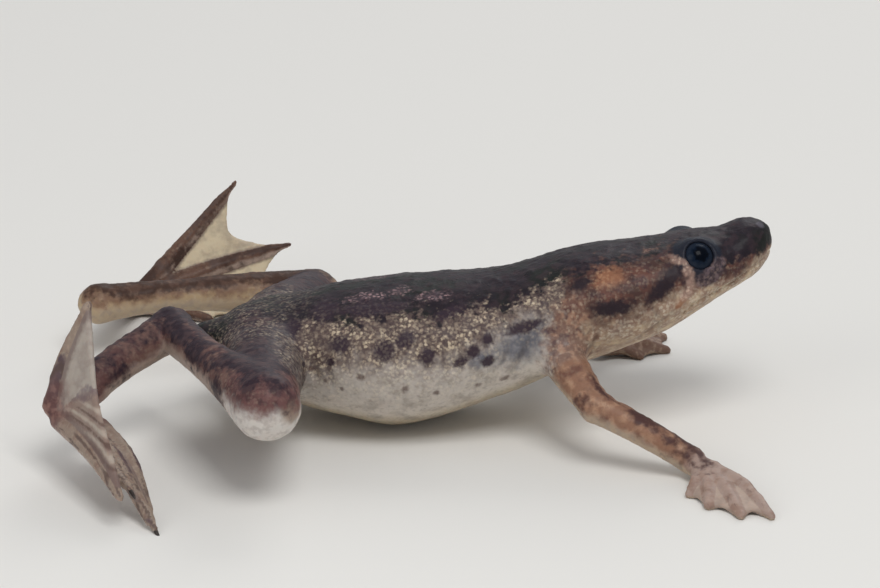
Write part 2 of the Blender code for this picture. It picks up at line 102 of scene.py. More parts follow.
# Each limb segment as joints, x, y, z and radius, and each digit as three points
ARMS: dict[Side, dict[str, tuple]] = {
    Side.RIGHT: {
        "upper_arm": ((6.6, -2.6, 6.6, 1.50), (7.7, -5.6, 5.45, 1.22), (9.33, -8.30, 3.95, 0.97)),
        "forearm": ((9.33, -8.30, 3.95, 0.97), (12.2, -9.3, 2.70, 0.86), (15.0, -9.95, 1.15, 0.80)),
        "hand": ((15.0, -9.95, 1.15, 0.80), (15.9, -11.4, 0.80, 0.78), (16.4, -12.4, 0.70, 0.50)),
        "digits": (
            ((15.5, -10.9, 0.90), (15.2, -12.2, 0.75), (14.75, -13.4, 0.28)),
            ((15.8, -11.2, 0.90), (15.9, -13.2, 0.80), (15.85, -15.3, 0.28)),
            ((16.2, -11.2, 0.90), (17.0, -14.0, 0.80), (17.7, -16.8, 0.28)),
            ((16.2, -10.8, 0.95), (18.0, -13.4, 0.95), (19.5, -16.9, 0.28)),
        ),
    },
    Side.LEFT: {
        "upper_arm": ((6.9, 2.6, 5.9, 1.50), (6.7, 5.8, 5.0, 1.22), (6.2, 8.90, 4.20, 0.97)),
        "forearm": ((6.2, 8.90, 4.20, 0.97), (8.2, 9.7, 2.70, 0.86), (10.1, 10.05, 1.15, 0.80)),
        "hand": ((10.1, 10.05, 1.15, 0.80), (11.0, 10.6, 0.85, 0.78), (11.8, 10.9, 0.75, 0.50)),
        "digits": (
            ((10.7, 10.2, 0.95), (11.7, 10.0, 0.75), (12.65, 9.85, 0.28)),
            ((10.9, 10.4, 0.95), (12.7, 10.8, 0.85), (14.4, 11.0, 0.28)),
            ((10.8, 10.7, 0.95), (12.6, 12.2, 0.85), (14.3, 13.4, 0.28)),
            ((10.6, 10.9, 0.95), (11.7, 12.9, 0.75), (12.6, 14.6, 0.28)),
        ),
    },
}
LEGS: dict[Side, dict[str, tuple]] = {
    Side.RIGHT: {
        "thigh": (
            (-10.9, -1.2, 4.9, 2.30),
            (-10.7, -6.0, 5.25, 2.45),
            (-10.5, -11.0, 5.8, 2.20),
            (-10.2, -14.4, 6.33, 1.95),
        ),
        "shank": (
            (-10.2, -14.4, 6.33, 1.95),
            (-12.0, -11.2, 6.55, 1.55),
            (-14.2, -6.8, 6.60, 1.20),
            (-16.3, -2.0, 6.55, 1.28),
        ),
        "tarsus": (
            (-16.3, -2.0, 6.55, 1.28),
            (-18.6, -4.4, 5.85, 1.15),
            (-20.6, -6.7, 5.05, 1.15),
            (-22.2, -8.6, 3.90, 1.20),
        ),
        "foot": ((-22.2, -8.6, 3.90, 1.20), (-21.7, -9.6, 3.35, 1.00), (-21.0, -10.6, 2.90, 0.60)),
        "digits": (
            ((-20.3, -9.6, 3.15), (-18.3, -12.8, 2.20), (-16.95, -17.0, 0.30)),
            ((-20.9, -9.8, 3.20), (-19.0, -13.9, 2.35), (-16.6, -18.9, 0.30)),
            ((-21.6, -9.8, 3.20), (-19.9, -13.6, 2.85), (-18.1, -17.3, 2.15)),
            ((-22.7, -9.5, 3.50), (-20.6, -13.9, 3.10), (-18.6, -18.5, 2.10)),
            ((-23.2, -8.9, 4.20), (-22.4, -8.6, 7.20), (-20.9, -8.2, 10.45)),
        ),
    },
    Side.LEFT: {
        "thigh": (
            (-10.9, 1.2, 4.6, 2.30),
            (-10.0, 5.6, 4.05, 2.35),
            (-8.9, 10.2, 3.4, 2.00),
            (-8.0, 13.8, 2.95, 1.65),
        ),
        "shank": (
            (-8.0, 13.8, 2.95, 1.65),
            (-12.0, 13.1, 3.40, 1.30),
            (-17.0, 11.8, 3.70, 1.00),
            (-21.5, 10.5, 3.62, 1.20),
        ),
        "tarsus": (
            (-21.5, 10.5, 3.62, 1.20),
            (-21.1, 13.0, 2.85, 1.10),
            (-20.5, 15.6, 1.90, 1.05),
            (-19.9, 17.8, 1.15, 1.00),
        ),
        "foot": ((-19.9, 17.8, 1.15, 1.00), (-19.1, 18.5, 1.15, 0.90), (-18.0, 19.0, 1.10, 0.55)),
        "digits": (
            ((-19.0, 17.8, 0.85), (-16.8, 17.2, 0.70), (-14.6, 16.4, 0.30)),
            ((-18.8, 18.1, 0.90), (-15.4, 18.3, 0.75), (-12.0, 18.2, 0.30)),
            ((-18.7, 18.5, 1.00), (-14.2, 19.6, 0.95), (-9.9, 20.3, 0.30)),
            ((-18.6, 18.8, 1.40), (-14.4, 20.2, 2.60), (-9.8, 21.0, 3.85)),
            ((-18.9, 18.8, 1.80), (-16.1, 20.6, 4.70), (-13.2, 22.0, 7.75)),
        ),
    },
}
FINGER_RADII = (0.48, 0.35, 0.20)
TOE_RADII = (0.58, 0.41, 0.18)

# The web between each digit and the next: its reach and its scallop, as shares of their length
FINGER_WEBS = ((0.96, 0.09),) * 3
TOE_WEBS = {
    Side.RIGHT: ((0.92, 0.10), (0.92, 0.10), (0.92, 0.10), (0.97, 0.12)),
    Side.LEFT: ((0.92, 0.10), (0.92, 0.10), (0.92, 0.10), (0.88, 0.17)),
}
CLAWED_TOES = 3

# The box of the skin's field: where each stretch starts and its pitch in mm; the last row only ends it
BOX_X = ((-25.6, 0.185), (12.5, 0.135), (20.9, 0.0))
BOX_Y = ((-21.2, 0.185), (-4.2, 0.150), (5.2, 0.185), (23.6, 0.0))
BOX_Z = ((-0.7, 0.174), (8.4, 0.135), (13.6, 0.0))
# The lowest and the highest corner of what the trunk and the forms of the head can reach
TRUNK_BOX = ((-16.0, -7.8, -0.7), (20.9, 9.0, 13.6))
HEAD_BOX = ((13.2, -5.2, 6.2), (20.9, 6.6, 13.6))
# Where points go back to the surface: the least squared slope that counts, and the farthest move in mm
LEAST_STEEPNESS = 0.05
FARTHEST_MOVE = 0.12
WORKED_AT_ONCE = 1500  # points of a web that are worked out together, so that memory stays small


def spline(rows: Array | tuple, steps: int) -> Array:
    """A smooth curve: each span is the cubic that leaves and ends along the chords of its neighbours.

    Args:
        rows: The points that the curve passes, one a row.
        steps: Points to each span.

    Returns:
        The curve's points, one a row.
    """
    rows = np.asarray(rows, dtype=float)
    padded = np.vstack((2 * rows[0] - rows[1], rows, 2 * rows[-1] - rows[-2]))
    t = np.linspace(0.0, 1.0, steps, endpoint=False)[None, :, None]
    p0, p1, p2, p3 = (padded[i : len(padded) - 3 + i, None, :] for i in range(4))
    spans = 0.5 * (
        2 * p1
        + (p2 - p0) * t
        + (2 * p0 - 5 * p1 + 4 * p2 - p3) * t**2
        + (3 * p1 - p0 - 3 * p2 + p3) * t**3
    )
    return np.vstack((spans.reshape(-1, rows.shape[1]), rows[-1:]))


def smooth_least(a: Array, b: Array, reach: float) -> Array:
    """The lesser of two fields with a fillet: a quarter of the reach's squared overlap is taken off.

    Args:
        a: One field.
        b: The other field.
        reach: How far apart the fields still blend, in mm.

    Returns:
        The blended field.
    """
    overlap = np.maximum(reach - np.abs(a - b), 0.0) / reach
    return np.minimum(a, b) - overlap**2 * reach / 4


def smooth_step(value: Array, low: float, high: float) -> Array:
    """A rise from 0 at low to 1 at high along a cubic."""
    t = np.clip((value - low) / (high - low), 0.0, 1.0)
    return t * t * (3 - 2 * t)


def bells(value: Array, middles: tuple[float, ...], width: float) -> Array:
    """A sum of bell curves: e to the minus square of the distance from each middle in widths."""
    return sum(np.exp(-(((value - middle) / width) ** 2)) for middle in middles)


def way_to(points: Array, places: list) -> Array:
    """Distance from each point to the nearest of some places."""
    return np.min([np.linalg.norm(points - np.array(place), axis=1) for place in places], axis=0)


def spread(rows: tuple) -> Array:
    """Coordinates in stretches, each cut evenly as near to its own pitch as fits.

    Args:
        rows: Where each stretch starts and its pitch; the last row only ends the one before.

    Returns:
        The coordinates in rising order.
    """
    parts = [
        np.linspace(low, high, max(round((high - low) / pitch), 1), endpoint=False)
        for (low, pitch), (high, _) in zip(rows, rows[1:])
    ]
    return np.concatenate((*parts, (rows[-1][0],)))


def away_from(place: Array, x: Array, y: Array, z: Array) -> Array:
    """Distance from a place to points whose coordinates are shaped to go together."""
    return np.sqrt((x - place[0]) ** 2 + (y - place[1]) ** 2 + (z - place[2]) ** 2)


def scatter(cells: Array, seed: int) -> Array:
    """A fixed number between 0 and 1 for each cell of space, by mixing the bits of its three counts.

    Args:
        cells: Whole numbers, three a row.
        seed: Picks another set of numbers.

    Returns:
        One number for each row.
    """
    a, b, c = (cells[..., i].astype(np.int64).astype(np.uint32) for i in range(3))
    mixed = a * np.uint32(0x8DA6B343) ^ b * np.uint32(0xD8163841) ^ c * np.uint32(0xCB1AB31F)
    mixed = mixed ^ np.uint32((seed * 0x9E3779B9) & 0xFFFFFFFF)
    for shift, factor in ((15, 0x2C1B3C6D), (12, 0x297A2D39)):
        mixed = (mixed ^ (mixed >> np.uint32(shift))) * np.uint32(factor)
    return (mixed ^ (mixed >> np.uint32(15))).astype(np.float64) / 2**32


def unevenness(points: Array, size: float, seed: int) -> Array:
    """Soft noise from -1 to 1: the cell corners' fixed numbers, blended by cubic weights in between.

    Args:
        points: Places in mm, three a row.
        size: The size of a cell in mm.
        seed: Picks another set of numbers.

    Returns:
        One number for each row.
    """
    scaled = points / size
    cell = np.floor(scaled)
    share = scaled - cell
    share = share * share * (3 - 2 * share)
    total = np.zeros(len(points))
    for corner in np.ndindex(2, 2, 2):
        weight = np.prod(np.where(np.array(corner) == 1, share, 1 - share), axis=1)
        total += weight * scatter(cell + corner, seed)
    return 2 * total - 1


def warts(points: Array, size: float, seed: int) -> Array:
    """Round bumps: each cell of space holds one, as one less the squared share of its own radius.

    Args:
        points: Places in mm, three a row.
        size: The size of a cell in mm.
        seed: Picks another set of bumps.

    Returns:
        Heights from 0 to 1, one for each row.
    """
    home = np.floor(points / size)
    height = np.zeros(len(points))
    for step in np.ndindex(3, 3, 3):
        cell = home + np.array(step) - 1
        moves = [0.7 * (scatter(cell, seed + i) - 0.5) for i in range(3)]
        middle = cell + 0.5 + np.stack(moves, axis=1)
        own = scatter(cell, seed + 3)
        apart = np.linalg.norm(points - middle * size, axis=1) / (size * (0.28 + 0.30 * own))
        height = np.maximum(height, np.clip(1 - apart**2, 0.0, 1.0) * (0.4 + 0.6 * own))
    return height


@dataclass(frozen=True)
class Trunk:
    """Trunk and head as rolled ovals along an axis that curves to the left ahead of the shoulders.

    All lengths are in mm and all angles in radians.
    """

    rows: tuple = TRUNK_ROWS
    roll: float = math.radians(9)
    bend_start: float = 6.0
    bend: float = 0.0063
    twist: float = math.radians(0.3)
    squareness: float = 2.15
    steps: int = 8

    def size_at(self, x: Array) -> tuple[Array, Array, Array]:
        """Level, half width and half height of the sections at x."""
        curve = spline(self.rows, self.steps)
        return tuple(np.interp(x, curve[:, 0], curve[:, i]) for i in (1, 2, 3))

    def frame_at(self, x: float) -> tuple[Array, Array, Array]:
        """The middle of the section at x with its sideways and its upward direction.

        Args:
            x: Where the section lies along the body in mm.

        Returns:
            The point and the two directions.
        """
        lead = max(x - self.bend_start, 0.0)
        slope = 2 * self.bend * lead
        roll = self.roll + self.twist * lead
        middle = np.array((x, self.bend * lead**2, float(self.size_at(np.array(x))[0])))
        left = np.array((-slope * math.cos(roll), math.cos(roll), -math.sin(roll)))
        top = np.array((-slope * math.sin(roll), math.sin(roll), math.cos(roll)))
        return middle, left, top

    def place(self, x: float, aside: float, up: float) -> Array:
        """The point of the section at x, given sideways to the left and up from its middle."""
        middle, left, top = self.frame_at(x)
        return middle + aside * left + up * top

    def section(self, x: Array, y: Array, z: Array) -> tuple[Array, Array, Array]:
        """Where points lie in the sections: the axis is made straight by repeating its shift three times.

        Args:
            x: First coordinates in mm.
            y: Second coordinates in mm, of a shape that goes with x.
            z: Third coordinates in mm, of a shape that goes with x.

        Returns:
            The section's x, and the distances sideways to the left and up from its middle.
        """
        along = x + 0.0 * y
        for _ in range(3):
            lead = np.maximum(along - self.bend_start, 0.0)
            along = x + 2 * self.bend * lead * (y - self.bend * lead**2)
        lead = np.maximum(along - self.bend_start, 0.0)
        roll = self.roll + self.twist * lead
        across = y - self.bend * lead**2
        rise = z - self.size_at(along)[0]
        aside = across * np.cos(roll) - rise * np.sin(roll)
        up = across * np.sin(roll) + rise * np.cos(roll)
        return along, aside, up

    def swell(self, along: Array, aside: Array, up: Array) -> Array:
        """How far out a point lies as a share of the oval, 1 on the surface: a root of summed powers.

        Args:
            along: The sections' x in mm.
            aside: How far to the left the points lie in them.
            up: How far up the points lie in them.

        Returns:
            One number a point.
        """
        half_width, half_height = self.size_at(along)[1:]
        power = self.squareness
        total = (np.abs(aside) / half_width) ** power + (np.abs(up) / half_height) ** power
        return total ** (1 / power)


@dataclass(frozen=True)
class Strand:
    """A limb segment or digit: round cones strung on a smooth path.

    Args:
        rows: The path's points with the radius at each, in mm.
        flatten: Height as a share of width.
        start: Length along the limb at the first point, in mm.
    """

    rows: tuple
    flatten: float = 1.0
    start: float = 0.0
    steps: int = 4

    @property
    def path(self) -> Array:
        """Points and radii along the smooth path, four numbers a row."""
        return spline(self.rows, self.steps)

    @property
    def length(self) -> float:
        """Length of the path in mm."""
        return float(np.linalg.norm(np.diff(self.path[:, :3], axis=0), axis=1).sum())

    def at(self, shares: Array) -> Array:
        """Points and radii at shares of the path's length.

        Args:
            shares: Shares from 0 to 1.

        Returns:
            Four numbers for each share.
        """
        path = self.path
        run = np.concatenate(((0.0,), np.cumsum(np.linalg.norm(np.diff(path[:, :3], axis=0), axis=1))))
        return np.stack([np.interp(shares, run / run[-1], path[:, i]) for i in range(4)], axis=-1)

    def box(self, margin: float) -> tuple[Array, Array]:
        """The corners of the box round the strand, a margin wider.

        Args:
            margin: How much wider, in mm.

        Returns:
            The lowest and the highest corner in mm.
        """
        path = self.path
        reach = path[:, 3:] + margin
        return (path[:, :3] - reach).min(axis=0), (path[:, :3] + reach).max(axis=0)

    def distance(self, x: Array, y: Array, z: Array) -> tuple[Array, Array]:
        """Distance to the strand's surface: over its cones, the least way to the axis less the radius.

        Args:
            x: First coordinates in mm.
            y: Second coordinates in mm, of a shape that goes with x.
            z: Third coordinates in mm, of a shape that goes with x.

        Returns:
            The distance and the length along the limb, in mm.
        """
        path = self.path
        least = None
        run = self.start
        for a, b in zip(path[:-1], path[1:]):
            way = b[:3] - a[:3]
            length = float(np.linalg.norm(way))
            px, py, pz = x - a[0], y - a[1], z - a[2]
            t = np.clip((px * way[0] + py * way[1] + pz * way[2]) / length**2, 0.0, 1.0)
            flat = (pz - t * way[2]) / self.flatten
            gap = np.sqrt((px - t * way[0]) ** 2 + (py - t * way[1]) ** 2 + flat**2)
            gap = gap - (a[3] + (b[3] - a[3]) * t)
            if least is None:
                least, along = gap, run + t * length
            else:
                nearer = gap < least
                least = np.where(nearer, gap, least)
                along = np.where(nearer, run + t * length, along)
            run += length
        return least, along


@dataclass(frozen=True)
class Web:
    """The membrane between two digits, with a free edge that curves in.

    Args:
        first: The digit on one side.
        second: The digit on the other side.
        reach: Share of the digits' length that the web reaches.
        scallop: How deep the free edge curves in, as a share too.
    """

    first: Strand
    second: Strand
    reach: float
    scallop: float
    thin: float = 0.17
    thick: float = 0.23
    sag: float = 0.10
    ripple: float = 0.05
    spacing: float = 0.11

    def samples(self) -> tuple[Array, Array]:
        """Points of the middle sheet: at each share s across, both digits at t times the edge, blended.

        The half thickness falls from thick beside the digits to thin in the middle of the free edge.

        Returns:
            The points in mm and the half thickness at each of them.
        """
        a, b = self.first.at(np.array((0.0, 1.0))), self.second.at(np.array((0.0, 1.0)))
        wide = int(max(np.linalg.norm(a[1, :3] - b[1, :3]) / self.spacing, 12))
        tall = int(max(self.first.length, self.second.length) / self.spacing)
        s = np.linspace(0.0, 1.0, wide)[:, None]
        t = np.linspace(0.0, 1.0, tall)[None, :]
        shares = t * (self.reach - self.scallop * np.sin(math.pi * s))
        one, other = self.first.at(shares)[..., :3], self.second.at(shares)[..., :3]
        sheet = one + (other - one) * s[..., None]
        normal = np.cross(np.gradient(sheet, axis=0), np.gradient(sheet, axis=1))
        normal /= np.maximum(np.linalg.norm(normal, axis=2, keepdims=True), 1e-9)
        slack = np.sin(math.pi * s) * np.sin(math.pi * t * 0.9)
        ripple = self.ripple * np.sin(3 * math.pi * s) * t
        sheet = sheet + normal * (self.sag * slack + ripple)[..., None]
        half = self.thin + (self.thick - self.thin) * (1 - np.sin(math.pi * s) * t)
        return sheet.reshape(-1, 3), np.broadcast_to(half, sheet.shape[:2]).reshape(-1)


@dataclass
class Lattice:
    """A box of points that holds the skin's field, which is negative inside the flesh."""

    xs: Array
    ys: Array
    zs: Array
    values: Array = field(init=False)

    def __post_init__(self) -> None:
        """Fills the box with a value that means far outside."""
        self.values = np.full((len(self.xs), len(self.ys), len(self.zs)), FAR, dtype=np.float32)

    def window(self, low: Array, high: Array) -> tuple[tuple, tuple[Array, Array, Array]]:
        """The part of the box between two corners.

        Args:
            low: Lowest corner in mm.
            high: Highest corner in mm.

        Returns:
            The slices of that part and its three rows of coordinates, shaped to go together.
        """
        slices = []
        for row, least, most in zip((self.xs, self.ys, self.zs), low, high):
            start = int(np.searchsorted(row, least))
            slices.append(slice(max(start - 1, 0), max(int(np.searchsorted(row, most)) + 1, start + 2)))
        x, y, z = (row[part] for row, part in zip((self.xs, self.ys, self.zs), slices))
        return tuple(slices), (x[:, None, None], y[None, :, None], z[None, None, :])

    def join(self, part: tuple, distance: Array, reach: float) -> None:
        """Adds a form to the flesh in a part of the box, with a fillet of that reach."""
        self.values[part] = smooth_least(self.values[part], distance, reach)

    def carve(self, part: tuple, distance: Array, reach: float) -> None:
        """Takes a form out of the flesh in a part of the box, with a rounded rim of that reach."""
        self.values[part] = -smooth_least(-self.values[part], distance, reach)

    def join_sheet(self, points: Array, half: Array, reach: float, radius: float) -> None:
        """Adds a thin sheet: each point near it takes the least way to a sample less the half thickness.

        Args:
            points: Samples of the sheet's middle in mm.
            half: Half thickness at each sample in mm.
            reach: Reach of the fillet in mm.
            radius: How far from a sample the field is worked out, in mm.
        """
        part, _ = self.window(points.min(axis=0) - radius, points.max(axis=0) + radius)
        rows = [row[piece] for row, piece in zip((self.xs, self.ys, self.zs), part)]
        near = np.full([len(row) for row in rows], FAR, dtype=np.float32)
        base = [np.searchsorted(row, points[:, i]) for i, row in enumerate(rows)]
        span = [int(math.ceil(radius / float(np.diff(row).min()))) for row in rows]
        for di in range(-span[0], span[0] + 1):
            i = np.clip(base[0] + di, 0, len(rows[0]) - 1)
            gap_x = (rows[0][i] - points[:, 0]) ** 2
            for dj in range(-span[1], span[1] + 1):
                j = np.clip(base[1] + dj, 0, len(rows[1]) - 1)
                gap_xy = gap_x + (rows[1][j] - points[:, 1]) ** 2
                close = gap_xy < radius**2
                if not close.any():
                    continue
                k = base[2][close, None] + np.arange(-span[2], span[2] + 1)[None, :]
                k = np.clip(k, 0, len(rows[2]) - 1)
                gap = np.sqrt(gap_xy[close, None] + (rows[2][k] - points[close, 2, None]) ** 2)
                way = (gap - half[close, None]).astype(np.float32)
                np.minimum.at(near, (i[close, None], j[close, None], k), way)
        self.join(part, near, reach)

    def sample(self, points: Array) -> Array:
        """The field at any points, blended in a straight line between the eight corners round each.

        Args:
            points: Places in mm, three a row.

        Returns:
            One value a place.
        """
        index, share = [], []
        for i, row in enumerate((self.xs, self.ys, self.zs)):
            at = np.clip(np.searchsorted(row, points[:, i], side="right") - 1, 0, len(row) - 2)
            index.append(at)
            share.append((points[:, i] - row[at]) / (row[at + 1] - row[at]))
        total = np.zeros(len(points))
        for corner in np.ndindex(2, 2, 2):
            weight = np.ones(len(points))
            for step, part in zip(corner, share):
                weight = weight * (part if step else 1 - part)
            total += weight * self.values[tuple(at + step for at, step in zip(index, corner))]
        return total

    def slope(self, points: Array, step: float = 0.07) -> Array:
        """The direction and rate at which the field grows, from differences a step to each side.

        Args:
            points: Places in mm, three a row.
            step: The step in mm.

        Returns:
            Three numbers a place.
        """
        rates = []
        for axis in range(3):
            shift = np.zeros(3)
            shift[axis] = step
            rates.append((self.sample(points + shift) - self.sample(points - shift)) / (2 * step))
        return np.stack(rates, axis=1)

    def surface(self) -> tuple[Array, Array]:
        """The zero surface as four-sided faces, one point in each cell that the surface crosses.

        A cell's point is the mean of the places where the field changes sign on its twelve edges. An
        edge of the box whose ends differ in sign gives one face, through the four cells round it.

        Returns:
            The points in mm and the faces as rows of four point numbers.
        """
        values = self.values
        inside = values < 0
        cell_shape = tuple(n - 1 for n in values.shape)
        count = np.zeros(cell_shape, dtype=np.int8)
        for corner in np.ndindex(2, 2, 2):
            count += inside[tuple(slice(c, c + n) for c, n in zip(corner, cell_shape))]
        cells = np.stack(np.nonzero((count > 0) & (count < 8)), axis=1)
        number = np.full(cell_shape, -1, dtype=np.int64)
        number[tuple(cells.T)] = np.arange(len(cells))
        total = np.zeros((len(cells), 3))
        crossings = np.zeros(len(cells))
        for axis in range(3):
            others = [a for a in range(3) if a != axis]
            for offsets in np.ndindex(2, 2):
                start = np.zeros(3, dtype=int)
                start[others] = offsets
                end = start.copy()
                end[axis] = 1
                a = values[tuple((cells + start).T)].astype(float)
                b = values[tuple((cells + end).T)].astype(float)
                crosses = (a < 0) != (b < 0)
                t = np.where(crosses, a / np.where(crosses, a - b, 1.0), 0.0)
                place = np.tile(start.astype(float), (len(cells), 1))
                place[:, axis] = t
                total += place * crosses[:, None]
                crossings += crosses
        share = total / crossings[:, None]
        points = np.empty_like(share)
        for axis, row in enumerate((self.xs, self.ys, self.zs)):
            low = row[cells[:, axis]]
            points[:, axis] = low + share[:, axis] * (row[cells[:, axis] + 1] - low)
        faces = []
        for axis in range(3):
            first, second = (axis + 1) % 3, (axis + 2) % 3
            low = [slice(1, -1)] * 3
            low[axis] = slice(0, -1)
            high = list(low)
            high[axis] = slice(1, None)
            here, there = inside[tuple(low)], inside[tuple(high)]
            for outward in (True, False):
                edges = np.stack(np.nonzero((here & ~there) if outward else (~here & there)), axis=1)
                edges[:, first] += 1
                edges[:, second] += 1
                ring = []
                for back_first, back_second in ((1, 1), (0, 1), (0, 0), (1, 0)):
                    cell = edges.copy()
                    cell[:, first] -= back_first
                    cell[:, second] -= back_second
                    ring.append(number[tuple(cell.T)])
                faces.append(np.stack(ring if outward else ring[::-1], axis=1))
        return points, np.vstack(faces)


def evened(points: Array, faces: Array, lattice: Lattice, rounds: int) -> Array:
    """Spreads the points evenly: each goes half way to its neighbours' mean, then back to the surface.

    Args:
        points: Points in mm.
        faces: Four-sided faces.
        lattice: The field that they lie on.
        rounds: How many times.

    Returns:
        The moved points.
    """
    pairs = np.vstack([faces[:, [i, (i + 1) % 4]] for i in range(4)])
    pairs = np.unique(np.sort(pairs, axis=1), axis=0)
    ends = np.concatenate((pairs[:, 0], pairs[:, 1]))
    others = np.concatenate((pairs[:, 1], pairs[:, 0]))
    degree = np.bincount(ends, minlength=len(points))[:, None]
    for _ in range(rounds):
        sums = [np.bincount(ends, points[others, i], len(points)) for i in range(3)]
        points = points + 0.5 * (np.stack(sums, axis=1) / degree - points)
        slope = lattice.slope(points)
        steepness = np.maximum((slope**2).sum(axis=1), LEAST_STEEPNESS)
        move = np.clip(lattice.sample(points) / steepness, -FARTHEST_MOVE, FARTHEST_MOVE)
        points = points - slope * move[:, None]
    return points


def to_linear(code: str) -> tuple[float, float, float, float]:
    """An sRGB hex colour as linear red, green, blue and full alpha."""
    parts = (int(code[i : i + 2], 16) / 255 for i in (1, 3, 5))
    return (*(c / 12.92 if c <= 0.04045 else ((c + 0.055) / 1.055) ** 2.4 for c in parts), 1.0)


def add_node(tree: bpy.types.NodeTree, kind: str, inputs: dict, **settings: object) -> bpy.types.Node:
    """Adds a node to a material.

    Args:
        tree: The material's nodes.
        kind: The node's type name.
        inputs: Values, colours or outputs for its inputs, by name or number.
        **settings: The node's own properties.

    Returns:
        The node.
    """
    node = tree.nodes.new(kind)
    for name, value in settings.items():
        setattr(node, name, value)
    for key, value in inputs.items():
        if isinstance(value, bpy.types.NodeSocket):
            tree.links.new(value, node.inputs[key])
        elif isinstance(value, str):
            node.inputs[key].default_value = to_linear(value)
        else:
            node.inputs[key].default_value = value
    return node


def new_material(name: str, values: dict) -> tuple[bpy.types.Material, bpy.types.NodeTree, bpy.types.Node]:
    """Makes a material whose shader has constants set on its sockets.

    Args:
        name: The material's name.
        values: The constants by socket, a colour as its hex code.

    Returns:
        The material, its nodes and its shader.
    """
    material = bpy.data.materials.new(name)
    material.use_nodes = True
    shader = material.node_tree.nodes["Principled BSDF"]
    for key, value in values.items():
        shader.inputs[key].default_value = to_linear(value) if isinstance(value, str) else value
    return material, material.node_tree, shader


def put(name: str, data: object) -> bpy.types.Object:
    """Puts a mesh, a lamp or a camera into the scene as an object of that name.

    Args:
        name: The object's name.
        data: The mesh, lamp or camera.

    Returns:
        The object.
    """
    obj = bpy.data.objects.new(name, data)
    bpy.context.scene.collection.objects.link(obj)
    return obj


def piece(
    name: str, points: Array, faces: list, shift: Array, material: bpy.types.Material
) -> bpy.types.Object:
    """Makes an object at the origin from points and faces.

    Args:
        name: The object's name.
        points: Points in mm in the frog's own frame.
        faces: Rows of point numbers, three or four a row.
        shift: The way from that frame to the solids' in mm.
        material: The object's material.

    Returns:
        The object, shaded smooth.
    """
    mesh = bpy.data.meshes.new(name)
    mesh.from_pydata(((points + shift) * MM).tolist(), [], faces)
    mesh.update()
    mesh.shade_smooth()
    mesh.materials.append(material)
    return put(name, mesh)


def turned_faces(rings: int, around: int, first: int = 0) -> list:
    """Faces of a form of revolution: four-sided ones between its rings and a fan round each pole.

    Args:
        rings: Rings of points between the two poles.
        around: Points to each ring.
        first: Number of the form's first point. The two poles come after its rings.

    Returns:
        Rows of four and of three point numbers.
    """
    j = np.arange(around)
    k = (j + 1) % around
    start = around * np.arange(rings - 1)[:, None]
    strips = np.stack((start + j, start + k, start + around + k, start + around + j), axis=2)
    last, pole = around * (rings - 1), np.full(around, around * rings)
    fans = np.vstack((np.stack((k, j, pole), axis=1), np.stack((last + j, last + k, pole + 1), axis=1)))
    return (strips.reshape(-1, 4) + first).tolist() + (fans + first).tolist()


@dataclass(frozen=True)
class Mark:
    """A patch of colour on the trunk or head.

    Args:
        x: Where its middle lies along the body in mm.
        height: How high it lies, as a share of the section's half height.
        long: Half its length in mm.
        wide: Half its width in mm.
        tilt: How far its front end is raised, in degrees.
    """

    x: float
    height: float
    long: float
    wide: float
    tilt: float = 0.0


DARK_MARKS = (
    Mark(13.4, 0.26, 1.75, 0.62, 38),
    Mark(10.1, 0.05, 1.45, 0.60, -8),
    Mark(-6.02, 0.34, 0.74, 0.58),
    Mark(-3.31, 0.26, 0.74, 0.72),
    Mark(-2.10, 0.39, 0.74, 0.58),
    Mark(-0.78, 0.13, 0.60, 0.64),
    Mark(1.20, -0.03, 0.52, 0.42),
    Mark(1.98, 0.07, 0.58, 0.46),
    Mark(2.89, 0.20, 0.46, 0.50),
    Mark(2.89, -0.14, 0.54, 0.40),
    Mark(5.05, 0.22, 1.50, 0.46, -6),
    Mark(-6.62, 0.08, 0.34, 0.30),
    Mark(-4.10, 0.78, 2.60, 0.42),
    Mark(-6.96, 0.80, 1.00, 0.60),
    Mark(0.60, 0.66, 1.10, 0.36, 8),
    Mark(-8.9, 0.62, 0.75, 0.60),
    Mark(-10.3, 0.40, 0.80, 0.60),
    Mark(8.4, 0.58, 0.60, 0.40),
)
WARM_MARKS = (
    Mark(9.95, 0.56, 1.30, 0.74),
    Mark(14.1, -0.34, 0.60, 0.42, 40),
)
ROSY_MARKS = (
    Mark(-4.53, 0.89, 1.70, 0.26),
    Mark(-0.40, 0.85, 1.30, 0.30),
    Mark(-2.40, 0.93, 0.90, 0.20),
)
SHOULDER_MARKS = (Mark(7.6, -0.05, 1.70, 2.30), Mark(7.7, -0.52, 2.00, 2.20))
PALE_MARKS = (
    Mark(14.10, 0.58, 0.80, 0.26, -30),
    Mark(14.58, 0.30, 0.62, 0.32, -56),
    Mark(14.72, 0.04, 0.34, 0.70),
    Mark(14.40, -0.20, 0.62, 0.40, 30),
)
FAINT_MARKS = (
    Mark(-2.11, -0.28, 0.36, 0.42),
    Mark(3.92, -0.53, 0.50, 0.30),
    Mark(2.29, -0.50, 0.36, 0.26),
    Mark(-4.8, -0.12, 0.40, 0.36),
    Mark(-0.2, -0.42, 0.30, 0.30),
    Mark(-6.9, -0.22, 0.34, 0.30),
    Mark(-7.7, -0.05, 0.40, 0.32),
    Mark(-5.9, -0.34, 0.26, 0.24),
)
# Folds of the trunk's skin: sunk into the surface, and darkened with painted shade in the crease layer
FOLDS = (
    Mark(5.00, -0.20, 1.80, 0.36, 66),
    Mark(3.95, -0.12, 1.30, 0.30, 74),
    Mark(-6.60, -0.12, 1.50, 0.32, 98),
    Mark(-7.60, 0.02, 1.90, 0.36, 102),
    Mark(-8.60, 0.14, 1.80, 0.34, 106),
    Mark(9.10, -0.50, 1.20, 0.30, 62),
    Mark(12.6, -0.62, 1.60, 0.26, 20),
)
BLUE_MARKS = (Mark(4.9, -0.06, 2.50, 1.80), Mark(2.6, -0.08, 1.20, 0.80))
